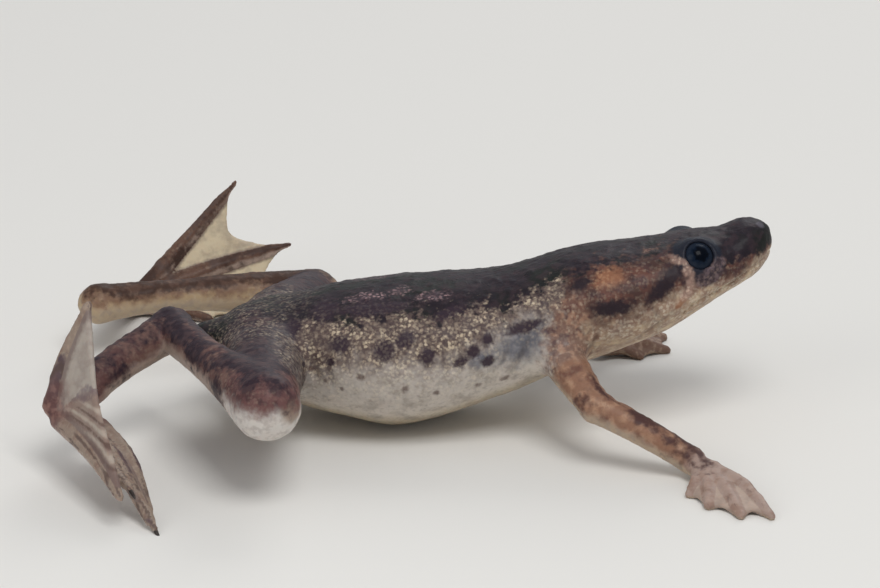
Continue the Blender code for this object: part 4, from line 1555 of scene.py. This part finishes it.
@dataclass
class Skin:
    """The frog's whole skin, from snout to toe tips, as one closed surface; all sizes are in mm.

    A reach says how far apart two forms still blend, and a room how far off a form is worked out.
    """

    trunk: Trunk = field(default_factory=Trunk)
    head: Head = field(default_factory=Head)
    pitch: float = 0.185
    palm_flatten: float = 0.85
    trunk_reach: float = 0.01
    limb_root_reach: float = 1.2
    joint_reach: float = 0.35
    digit_reach: float = 0.30
    web_reach: float = 0.22
    rim_reach: float = 0.12
    mound_reach: float = 0.35
    nostril_reach: float = 0.08
    socket_reach: float = 0.04
    floor_reach: float = 0.10
    nostril_room: float = 1.2
    lid_room: float = 2.6
    web_room: float = 0.27
    fold_depth: float = 0.11
    even_rounds: int = 4
    tan_off_knee: Point = (1.35, -1.0, 0.30)
    limbs: dict[str, list[Strand]] = field(init=False)
    digits: dict[str, list[Strand]] = field(init=False)
    webs: dict[str, list[Web]] = field(init=False)

    def __post_init__(self) -> None:
        """Strings the tables of joints to strands and webs."""
        self.limbs, self.digits, self.webs = {}, {}, {}
        for tables, names, radii in (
            (ARMS, ("upper_arm", "forearm", "hand"), FINGER_RADII),
            (LEGS, ("thigh", "shank", "tarsus", "foot"), TOE_RADII),
        ):
            for side, table in tables.items():
                limb = f"{'arm' if tables is ARMS else 'leg'}_{side.word}"
                chain: list[Strand] = []
                run = 0.0
                for name in names:
                    flat = self.palm_flatten if name == names[-1] else 1.0
                    chain.append(Strand(table[name], flat, run))
                    run += chain[-1].length
                self.limbs[limb] = chain
                rows = [tuple((*at, radius) for at, radius in zip(path, radii)) for path in table["digits"]]
                toes = self.digits[limb] = [Strand(digit, start=run) for digit in rows]
                shapes = FINGER_WEBS if tables is ARMS else TOE_WEBS[side]
                self.webs[limb] = [Web(a, b, *shape) for a, b, shape in zip(toes, toes[1:], shapes)]

    def trunk_distance(self, x: Array, y: Array, z: Array) -> Array:
        """Distance to the trunk: the swell less one, over its growth across the box, capped at the ends.

        Args:
            x: First coordinates in mm.
            y: Second coordinates in mm, of a shape that goes with x.
            z: Third coordinates in mm, of a shape that goes with x.

        Returns:
            The distance in mm.
        """
        along, aside, up = self.trunk.section(x, y, z)
        swell = self.trunk.swell(along, aside, up)
        rates = np.gradient(swell, *(axis.reshape(-1) for axis in (x, y, z)))
        steep = np.sqrt(sum(rate**2 for rate in rates))
        outward = swell / np.maximum(np.sqrt(aside**2 + up**2), 0.05)
        distance = (swell - 1) / np.clip(steep, 1e-6, 2.5 * outward)
        ends = np.maximum(along - self.trunk.rows[-1][0], self.trunk.rows[0][0] - along)
        return np.maximum(distance, ends)

    def shape(self) -> Lattice:
        """The field of the whole skin: trunk, limbs, digits, webs, the head's forms and the floor's cut.

        Returns:
            The box of points with the field.
        """
        lattice = Lattice(spread(BOX_X), spread(BOX_Y), spread(BOX_Z))
        margin = 3 * self.pitch
        web_room = self.web_room + self.web_reach + 2.2 * self.pitch
        part, (x, y, z) = lattice.window(*TRUNK_BOX)
        lattice.join(part, self.trunk_distance(x, y, z), self.trunk_reach)
        for name, chain in self.limbs.items():
            for number, strand in enumerate(chain):
                part, (x, y, z) = lattice.window(*strand.box(self.limb_root_reach + margin))
                reach = self.limb_root_reach if number == 0 else self.joint_reach
                lattice.join(part, strand.distance(x, y, z)[0], reach)
            for strand in self.digits[name]:
                part, (x, y, z) = lattice.window(*strand.box(self.digit_reach + margin))
                lattice.join(part, strand.distance(x, y, z)[0], self.digit_reach)
            for web in self.webs[name]:
                samples, half = web.samples()
                lattice.join_sheet(samples, half, self.web_reach, web_room)
        self.shape_mouth(lattice)
        for side in Side:
            self.shape_nostril(lattice, side)
            self.shape_lids(lattice, side)
        floor = (FLOOR_LEVEL - lattice.zs)[None, None, :]
        lattice.values = -smooth_least(-lattice.values, -floor.astype(np.float32), self.floor_reach)
        return lattice

    def shape_mouth(self, lattice: Lattice) -> None:
        """Two lips as soft ridges beside the mouth's line, and the mouth as a slit of a set depth.

        Args:
            lattice: The skin's field.
        """
        head = self.head
        part, (x, y, z) = lattice.window(*HEAD_BOX)
        along, _, up = self.trunk.section(x, y, z)
        off = head.mouth_off(along, up)
        ridges = sum(height * bells(off, (middle,), head.lip_width) for middle, height in head.lips)
        for start, full in head.lip_fades:
            ridges = ridges * smooth_step(along, start, full)
        surface = lattice.values[part] - ridges.astype(np.float32)
        lattice.values[part] = surface
        slit = np.maximum(np.abs(off) - head.mouth_half, -surface - head.mouth_depth)
        slit = np.maximum(slit, head.mouth[0][0] - along)
        lattice.carve(part, slit.astype(np.float32), self.rim_reach)

    def shape_nostril(self, lattice: Lattice, side: Side) -> None:
        """A nostril: a ball taken out of a low mound, which is a larger ball sunk into the head.

        Args:
            lattice: The skin's field.
            side: The side of the frog.
        """
        head = self.head
        place = head.hole(self.trunk, side)
        part, (x, y, z) = lattice.window(place - self.nostril_room, place + self.nostril_room)
        mound = away_from(head.hole(self.trunk, side, head.nostril_sink), x, y, z) - head.nostril_mound
        lattice.join(part, mound, self.mound_reach)
        lattice.carve(part, away_from(place, x, y, z) - head.nostril_radius, self.nostril_reach)

    def shape_lids(self, lattice: Lattice, side: Side) -> None:
        """Lids that close round an eyeball: a ball a little larger, less the eye and a cone ahead of it.

        Args:
            lattice: The skin's field.
            side: The side of the frog.
        """
        head = self.head
        centre, axis = head.eye_centre(self.trunk, side), head.eye_axis(self.trunk, side)
        part, (x, y, z) = lattice.window(centre - self.lid_room, centre + self.lid_room)
        away = away_from(centre, x, y, z)
        lattice.join(part, away - head.eye_radius - head.lid_thickness, head.lid_reach)
        ahead = (x - centre[0]) * axis[0] + (y - centre[1]) * axis[1] + (z - centre[2]) * axis[2]
        ahead = ahead / np.maximum(away, 1e-6)
        cone = away * np.sin(np.arccos(np.clip(ahead, -1.0, 1.0)) - head.opening)
        cone = np.where(ahead > math.cos(head.opening + 0.5 * math.pi), cone, FAR)
        lattice.carve(part, cone, self.rim_reach)
        lattice.carve(part, away - head.eye_radius, self.socket_reach)

    def relief(self, points: Array, found: dict[str, Array]) -> Array:
        """Height of the skin's own relief: glands and slow waves, less on webs and lids, and folds.

        Args:
            points: Points of the skin in mm.
            found: The skin's numbers at these points.

        Returns:
            Heights in mm.
        """
        calm = (1 - found["web"]) * (1 - 0.85 * found["near_eye"]) * (1 - 0.6 * found["lips"])
        glands = sum(height * warts(points, size, seed) for height, size, seed in GLANDS)
        waves = sum(height * unevenness(points, size, seed) for height, size, seed in WAVES)
        glands = glands * (0.35 + 0.65 * found["upper"])
        return calm * (glands + waves * (1 - 0.5 * found["limb"])) - self.fold_depth * found["crease"]

    def creases(self, points: Array, normals: Array) -> Array:
        """How deep the creases across the limbs' joints are, as a share of the deepest one.

        A crease is a bell curve of the way along the bend. Deep ones lie on the side that faces
        into the bend and faint ones on the other, and all fade with the distance from the joint.

        Args:
            points: Points of the skin in mm.
            normals: Outward directions of length 1.

        Returns:
            One number a point, from 0 to 1.
        """
        depth = np.zeros(len(points))
        for chain in self.limbs.values():
            for before, after in zip(chain, chain[1:]):
                joint, radius = after.path[0, :3], after.path[0, 3]
                back, ahead = before.path[-3, :3] - joint, after.path[2, :3] - joint
                back, ahead = back / np.linalg.norm(back), ahead / np.linalg.norm(ahead)
                bend = np.linalg.norm(back + ahead)
                inward = (back + ahead) / max(bend, 0.1)
                along = (ahead - back) / np.linalg.norm(ahead - back)
                near = smooth_step(way_to(points, [joint]), 1.5 * radius + 0.8, 1.1 * radius + 0.1)
                place = (points - joint) @ along + 0.12 * unevenness(points, 0.9, 53)
                for middles, share, facing in CREASES:
                    lines = bells(place, middles, CREASE_WIDTH) * share * near * min(bend, 1.0)
                    lines = lines * smooth_step(facing * (normals @ inward), 0.05, 0.65)
                    depth = np.maximum(depth, lines)
        return depth

    def fan(self, points: Array) -> tuple[Array, Array]:
        """Where points lie in the raised web of the right foot.

        Args:
            points: Points of the skin in mm.

        Returns:
            The turn from the fourth toe, 0, to the fifth, 1, and a number that stays nearly the same
            on lines beside the fourth toe.
        """
        heel = np.array(LEGS[Side.RIGHT]["foot"][0][:3])
        way = points - heel
        far = np.maximum(np.linalg.norm(way, axis=1), 1e-6)
        turns = []
        for toe in self.digits["leg_right"][3:5]:
            ahead = toe.path[-1, :3] - heel
            turns.append(np.arccos(np.clip(way @ ahead / (far * np.linalg.norm(ahead)), -1.0, 1.0)))
        share = turns[0] / np.maximum(turns[0] + turns[1], 1e-6) + 0.03 * unevenness(points, 1.2, 61)
        return share, turns[0] * far**0.65 + 0.05 * unevenness(points, 1.8, 67)

    def limb_measures(self, points: Array) -> dict[str, Array]:
        """What the nearest limb says of each point, by name.

        Arm is 1 on arms and 0 on legs, run is the length along the limb, each gap is the distance
        to the surface of a limb, digit or web, and the rest says how dark the limb is there.

        Args:
            points: Points of the skin in mm.

        Returns:
            Each measure by its name.
        """
        x, y, z = points.T
        limb_gap, digit_gap, web_gap = (np.full(len(points), FAR) for _ in range(3))
        nearest = np.zeros((6, len(points)))
        for name, chain in self.limbs.items():
            is_arm = name.startswith("arm")
            table = np.transpose(ARM_DARK if is_arm else LEG_DARK[Side[name[4:].upper()]])
            for strand in chain + self.digits[name]:
                gap, run = strand.distance(x, y, z)
                own = [np.full(len(points), float(is_arm)), run]
                own += [np.interp(run, table[0], row) for row in table[1:]]
                nearest = np.where(gap < limb_gap, np.stack(own), nearest)
                limb_gap = np.minimum(limb_gap, gap)
                if strand in self.digits[name]:
                    digit_gap = np.minimum(digit_gap, gap)
            for web in self.webs[name]:
                samples, _ = web.samples()
                low, high = samples.min(axis=0) - 0.6, samples.max(axis=0) + 0.6
                close = np.nonzero(((points > low) & (points < high)).all(axis=1))[0]
                for chunk in np.array_split(close, max(len(close) // WORKED_AT_ONCE, 1)):
                    gaps = ((points[chunk, None, :] - samples[None, ::3, :]) ** 2).sum(axis=2).min(axis=1)
                    web_gap[chunk] = np.minimum(web_gap[chunk], np.sqrt(gaps))
        names = ("arm", "run", "cover", "on_top", "cloudy", "streaky")
        gaps = {"limb_gap": limb_gap, "digit_gap": digit_gap, "web_gap": web_gap}
        return gaps | dict(zip(names, nearest))

    def eye_measures(self, points: Array) -> dict[str, Array]:
        """How far each point lies from the nearer eye's middle and how far below it, as a share.

        Args:
            points: Points of the skin in mm.

        Returns:
            Each measure by its name.
        """
        eye_gap, below_eye = np.full(len(points), FAR), np.zeros(len(points))
        top = self.trunk.frame_at(self.head.eye_x)[2]
        for side in Side:
            centre = self.head.eye_centre(self.trunk, side)
            gap = way_to(points, [centre])
            below = (0.8 * ((centre - points) @ top) + 0.6 * (points[:, 0] - centre[0])) / gap
            below_eye = np.where(gap < eye_gap, below, below_eye)
            eye_gap = np.minimum(eye_gap, gap)
        return {"eye_gap": eye_gap, "below_eye": below_eye}

    def measures(self, points: Array, normals: Array) -> dict[str, Array]:
        """What the zones and the markings are worked out from, by name, one value a point.

        Along, aside and share are the place in the trunk's sections, with the height in half
        heights. Back and belly are that height less the edge's own. Each gap is a distance in mm.

        Args:
            points: Points of the skin in mm.
            normals: Outward directions of length 1.

        Returns:
            Each measure by its name.
        """
        trunk, head, right = self.trunk, self.head, LEGS[Side.RIGHT]
        x, y, z = points.T
        along, aside, up = trunk.section(x, y, z)
        half_height = trunk.size_at(along)[2]
        share = np.clip(up / np.maximum(half_height, 0.3), -1.3, 1.3)
        inside = np.clip(along, trunk.rows[0][0] + 0.3, trunk.rows[-1][0] - 0.3)
        trunk_gap = (trunk.swell(inside, aside, up) - 1) * np.minimum(*trunk.size_at(inside)[1:])
        found = {"y": y, "along": along, "aside": aside, "share": share, "half_height": half_height}
        found |= dict(zip(("nx", "ny", "nz"), normals.T))
        found |= self.limb_measures(points) | self.eye_measures(points)
        found["back"] = share - np.interp(along, *np.transpose(BACK_EDGE))
        found["belly"] = share - np.interp(along, *np.transpose(BELLY_EDGE))
        found["root_gap"] = np.maximum(trunk_gap, np.abs(along - inside)) - found["limb_gap"]
        found["mouth_gap"] = np.abs(head.mouth_off(along, up))
        found["nostril_gap"] = way_to(points, [head.hole(trunk, side) for side in Side])
        knees = [LEGS[side]["shank"][0] for side in Side]
        found["knee_gap"] = np.min([way_to(points, [knee[:3]]) - knee[3] for knee in knees], axis=0)
        found["tan_gap"] = way_to(points, [np.array(right["shank"][0][:3]) + np.array(self.tan_off_knee)])
        found["heel_gap"] = way_to(points, [right["tarsus"][-1][:3]])
        found["fifth_gap"] = self.digits["leg_right"][4].distance(x, y, z)[0]
        found["fan"], found["beside"] = self.fan(points)
        round_limb = (0.30 * found["run"], 1.2 * (found["nx"] + found["ny"]), 1.3 * found["nz"])
        round_limb = np.stack(round_limb, axis=1) + 3.0 * found["arm"][:, None]
        found["streaks"] = unevenness(round_limb, 0.8, 41)
        found["clouds"] = sum(strength * unevenness(points, size, seed) for strength, size, seed in CLOUDS)
        return found

    def numbers(self, points: Array, normals: Array) -> dict[str, Array]:
        """The markings as one number a point for each of them, with the measures they come from.

        A kind of mark is the largest, over its marks, of one less the distance in half sizes, and a
        zone is the product of its rises. The rest are sums and products of these.

        Args:
            points: Points of the skin in mm.
            normals: Outward directions of length 1.

        Returns:
            Each number by its name.
        """
        found = self.measures(points, normals)
        for name, marks in MARKS.items():
            found[name] = self.closeness(marks, found)
        for name, rises in ZONES.items():
            steps = [smooth_step(found[measure], start, full) for measure, start, full in rises]
            found[name] = np.prod(steps, axis=0)
        for name, measure, middles, width in WEB_BELLS:
            found[name] = found[name] * bells(found[measure], middles, width)
        found["limb"] = found["trunk_end"] * (1 - 0.9 * found["arm_root"])
        # crease is the depth of the folds and creases, and also the cover of the painted shade laid in them
        found["crease"] = np.maximum(found["folded"] * (1 - found["limb"]), self.creases(points, normals))
        found["ray"] = np.maximum(found["digit_ray"] * (1 - 0.6 * found["arm"]), found["near_ray"])
        under = 0.10 * found["knee"] - 0.15 * found["arm"] + 0.14 * found["near_shank"]
        found["under"] = under - found["nz"]
        blot = found["cover"] + found["on_top"] * found["nz"] - 0.25 * found["knee"]
        blot = blot + found["cloudy"] * found["clouds"] + found["streaky"] * found["streaks"]
        found["blot"] = blot + 0.40 * found["toe_stripe"]
        found["brown_edge"] = blot + 2 * (found["sand"] - 1)
        lines = np.clip(1 - np.abs(found["streaks"]) / 0.42, 0.0, 1.0)
        found["line"] = lines * (0.75 * found["hand_lines"] + found["foot_lines"])
        return found

    @staticmethod
    def closeness(marks: tuple[Mark, ...], found: dict[str, Array]) -> Array:
        """How close points are to the nearest of some marks, 1 in its middle and 0 at its edge.

        The left side has the same marks, each moved a little by waves of its number.

        Args:
            marks: The marks.
            found: The measures of the points.

        Returns:
            One number a point, from -1 up to 1.
        """
        best = np.full(len(found["along"]), -1.0)
        for number, mark in enumerate(marks):
            tilt = math.radians(mark.tilt)
            for side, moved in ((Side.RIGHT, 0.0), (Side.LEFT, 1.0)):
                dx = found["along"] - mark.x - moved * MOVED_ALONG * math.sin(7 * number + 1)
                dz = found["share"] - mark.height - moved * MOVED_UP * math.cos(5 * number)
                dz = dz * found["half_height"]
                ahead = dx * math.cos(tilt) + dz * math.sin(tilt)
                over = dz * math.cos(tilt) - dx * math.sin(tilt)
                close = 1 - np.sqrt((ahead / mark.long) ** 2 + (over / mark.wide) ** 2)
                best = np.maximum(best, np.where(found["aside"] * side.value > 0, close, -1.0))
        return best

    def build(self, shift: Array, finish: WetSkin) -> bpy.types.Object:
        """Makes the skin.

        Args:
            shift: The way from the frog's own frame to the solids' in mm.
            finish: The skin's finish.

        Returns:
            The skin's object.
        """
        lattice = self.shape()
        points, faces = lattice.surface()
        points = evened(points, faces, lattice, self.even_rounds)
        normals = lattice.slope(points)
        normals /= np.maximum(np.linalg.norm(normals, axis=1, keepdims=True), 1e-9)
        found = self.numbers(points, normals)
        lift = self.relief(points, found)
        lift *= smooth_step(points[:, 2], FLOOR_LEVEL + 0.05, FLOOR_LEVEL + 0.5)
        points = points + normals * lift[:, None]
        points[:, 2] = np.maximum(points[:, 2], FLOOR_LEVEL)
        skin = piece("skin", points, faces.tolist(), shift, finish.build())
        for name in sorted(numbers_in(finish.layers)):
            layer = skin.data.attributes.new(name, "FLOAT", "POINT")
            layer.data.foreach_set("value", found[name].astype(np.float32))
        return skin


@dataclass(frozen=True)
class Eyeball:
    """One eyeball: a ball with a slightly steeper cornea in front."""

    head: Head
    side: Side
    rows: int = 40
    around: int = 64
    bulge: float = 0.07
    play: float = 0.01

    def build(self, trunk: Trunk, shift: Array, finish: bpy.types.Material) -> bpy.types.Object:
        """Makes the ball from its angle off the look axis and its turn round it.

        The radius is the socket's less a little play, plus a bulge that fades with the fourth power
        of the cosine.

        Args:
            trunk: The trunk that carries the eye.
            shift: The way from the frog's own frame to the solids' in mm.
            finish: The eye's material.

        Returns:
            The eye's object.
        """
        axis = self.head.eye_axis(trunk, self.side)
        first = np.cross(axis, (0.0, 0.0, 1.0))
        first /= np.linalg.norm(first)
        second = np.cross(axis, first)
        off = np.linspace(0.0, math.pi, self.rows)[:, None]
        turn = np.linspace(0.0, 2 * math.pi, self.around, endpoint=False)[None, :]
        radius = self.head.eye_radius - self.play + self.bulge * np.maximum(np.cos(off), 0.0) ** 4
        outward = np.cos(turn)[..., None] * first + np.sin(turn)[..., None] * second
        points = radius[..., None] * (np.cos(off)[..., None] * axis + np.sin(off)[..., None] * outward)
        points = points.reshape(-1, 3) + self.head.eye_centre(trunk, self.side)
        corners = np.vstack((points[self.around : -self.around], points[0], points[-1]))
        rings = self.rows - 2
        name = f"eye_{self.side.word}_ball"
        eye = piece(name, corners, turned_faces(rings, self.around), shift, finish)
        shares = np.concatenate((np.repeat(off[1:-1, 0] / math.pi, self.around), (0.0, 1.0)))
        turns = np.concatenate((np.tile(turn[0] / (2 * math.pi), rings), (0.0, 0.0)))
        loops = np.empty(len(eye.data.loops), dtype=np.int32)
        eye.data.loops.foreach_get("vertex_index", loops)
        layer = eye.data.uv_layers.new(name="iris")
        layer.data.foreach_set("uv", np.stack((turns[loops], shares[loops]), axis=1).ravel())
        return eye


@dataclass(frozen=True)
class Claws:
    """The small claws on the inner three toes of one foot."""

    side: Side
    length: float = 0.74
    radius: float = 0.15
    root: float = 0.45
    droop: float = 0.16
    rows: int = 12
    around: int = 14

    def build(self, toes: list[Strand], shift: Array, finish: bpy.types.Material) -> bpy.types.Object:
        """Makes the claws: each is a ring whose radius falls off along a path that bends down.

        Args:
            toes: The foot's toes, the inner one first.
            shift: The way from the frog's own frame to the solids' in mm.
            finish: The claws' material.

        Returns:
            One object with all the foot's claws.
        """
        points, faces = [], []
        s = np.linspace(0.0, 1.0, self.rows)[:, None]
        turn = np.linspace(0.0, 2 * math.pi, self.around, endpoint=False)[None, :]
        for number, toe in enumerate(toes[:CLAWED_TOES]):
            tip, before = toe.path[-1, :3], toe.path[-3, :3]
            ahead = (tip - before) / np.linalg.norm(tip - before)
            side = np.cross(ahead, (0.0, 0.0, 1.0))
            side /= np.linalg.norm(side)
            top = np.cross(side, ahead)
            reach = -self.root + (self.root + self.length) * s
            centre = tip + reach[..., None] * ahead - self.droop * (s**2)[..., None] * top
            radius = self.radius * np.sqrt(np.clip(1 - s**2.2, 0.0, 1.0))
            radius = radius * (0.6 + 0.4 * np.minimum(s * 5, 1.0))
            circle = np.cos(turn)[..., None] * side + np.sin(turn)[..., None] * top
            rings = (centre + radius[..., None] * circle)[:-1].reshape(-1, 3)
            points.append(np.vstack((rings, centre[0], centre[-1])))
            faces += turned_faces(self.rows - 1, self.around, number * len(points[0]))
        corners = np.vstack(points)
        corners[:, 2] = np.maximum(corners[:, 2], FLOOR_LEVEL)
        return piece(f"claws_{self.side.word}", corners, faces, shift, finish)


@dataclass(frozen=True)
class Studio:
    """Pale floor, soft lights and the camera at the photograph's angle.

    The floor is matt paper, which gives the eye soft shadows and no gloss.
    """

    elevation: float = math.radians(20)
    distance: float = 350.0
    aim: Point = (0.0, 0.0, 8.1)
    lens: float = 234.8
    floor_half: float = 1500.0
    floor_colour: str = "#e4e2dd"
    room_colour: str = "#eef0f4"
    room_strength: float = 0.48
    lamps: tuple = (
        ("key", (60.0, -160.0, 300.0), 160.0, 0.55),
        ("fill", (-260.0, -220.0, 160.0), 220.0, 0.22),
        ("back", (80.0, 260.0, 200.0), 180.0, 0.25),
    )
    lamp_aim: Point = (0.0, 0.0, 5.0)

    def build(self, shift: Array) -> None:
        """Makes floor, lamps, world and camera; a lamp has its place and size in mm and its watts.

        Args:
            shift: The way from the frog's own frame to the solids' in mm.
        """
        paper = new_material("studio_paper", {"Base Color": self.floor_colour, "Roughness": 0.9})[0]
        half = self.floor_half
        corners = np.array(((-half, -half, 0.0), (half, -half, 0.0), (half, half, 0.0), (-half, half, 0.0)))
        floor = piece("floor", corners, [(0, 1, 2, 3)], np.zeros(3), paper)
        for name, place, size, power in self.lamps:
            data = bpy.data.lights.new(name, "AREA")
            data.size = size * MM
            data.energy = power
            lamp = put(name, data)
            lamp.location = np.array(place) * MM
            lamp.rotation_euler = direction(np.array(self.lamp_aim) - np.array(place))
        world = bpy.data.worlds.new("room")
        world.use_nodes = True
        background = world.node_tree.nodes["Background"]
        background.inputs["Color"].default_value = to_linear(self.room_colour)
        background.inputs["Strength"].default_value = self.room_strength
        scene = bpy.context.scene
        scene.world = world
        data = bpy.data.cameras.new("camera")
        data.lens = self.lens
        data.sensor_width = 36.0
        data.clip_start = 0.01
        data.clip_end = 10.0
        scene.camera = put("camera", data)
        back = np.array((0.0, -math.cos(self.elevation), math.sin(self.elevation)))
        scene.camera.location = (np.array(self.aim) + shift + self.distance * back) * MM
        scene.camera.rotation_euler = direction(-back)
        scene.view_settings.view_transform = "Standard"


def direction(way: Array) -> object:
    """The turn that points a camera or a lamp along a way, with its top upwards."""
    return Vector(way.tolist()).to_track_quat("-Z", "Y").to_euler()


def node_shift(trunk: Trunk, head: Head) -> Array:
    """The way from the frog's own frame to the solids' in mm, from where the right eye lies in both.

    Args:
        trunk: The trunk that carries the eye.
        head: The head's sizes.

    Returns:
        The way in mm.
    """
    low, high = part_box("eye_right")
    middle = (np.array(low) + np.array(high)) / 2 / MM
    return middle - head.eye_centre(trunk, Side.RIGHT)


def main() -> None:
    """Builds the frog's visible pieces in order."""
    logging.basicConfig(level=logging.INFO, format="%(name)s: %(message)s")
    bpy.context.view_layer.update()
    trunk, head = Trunk(), Head()
    shift = node_shift(trunk, head)
    log.info("shift to the solids %s mm", np.round(shift, 3))
    frog = Skin(trunk, head)
    skin = frog.build(shift, WetSkin())
    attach(skin, "root")
    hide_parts(*[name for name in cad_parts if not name.startswith("eye_")])
    log.info("skin: %d points, %d faces", len(skin.data.vertices), len(skin.data.polygons))
    eye_finish, claw_finish = EyeGloss().build(), ClawHorn().build()
    for side in Side:
        eye = Eyeball(head, side).build(trunk, shift, eye_finish)
        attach(eye, "root")
        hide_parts(f"eye_{side.word}")
        log.info("%s: %d faces", eye.name, len(eye.data.polygons))
        claws = Claws(side).build(frog.digits[f"leg_{side.word}"], shift, claw_finish)
        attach(claws, "root")
        log.info("%s: %d faces", claws.name, len(claws.data.polygons))
    Studio().build(shift)


if __name__ == "__main__":
    main()
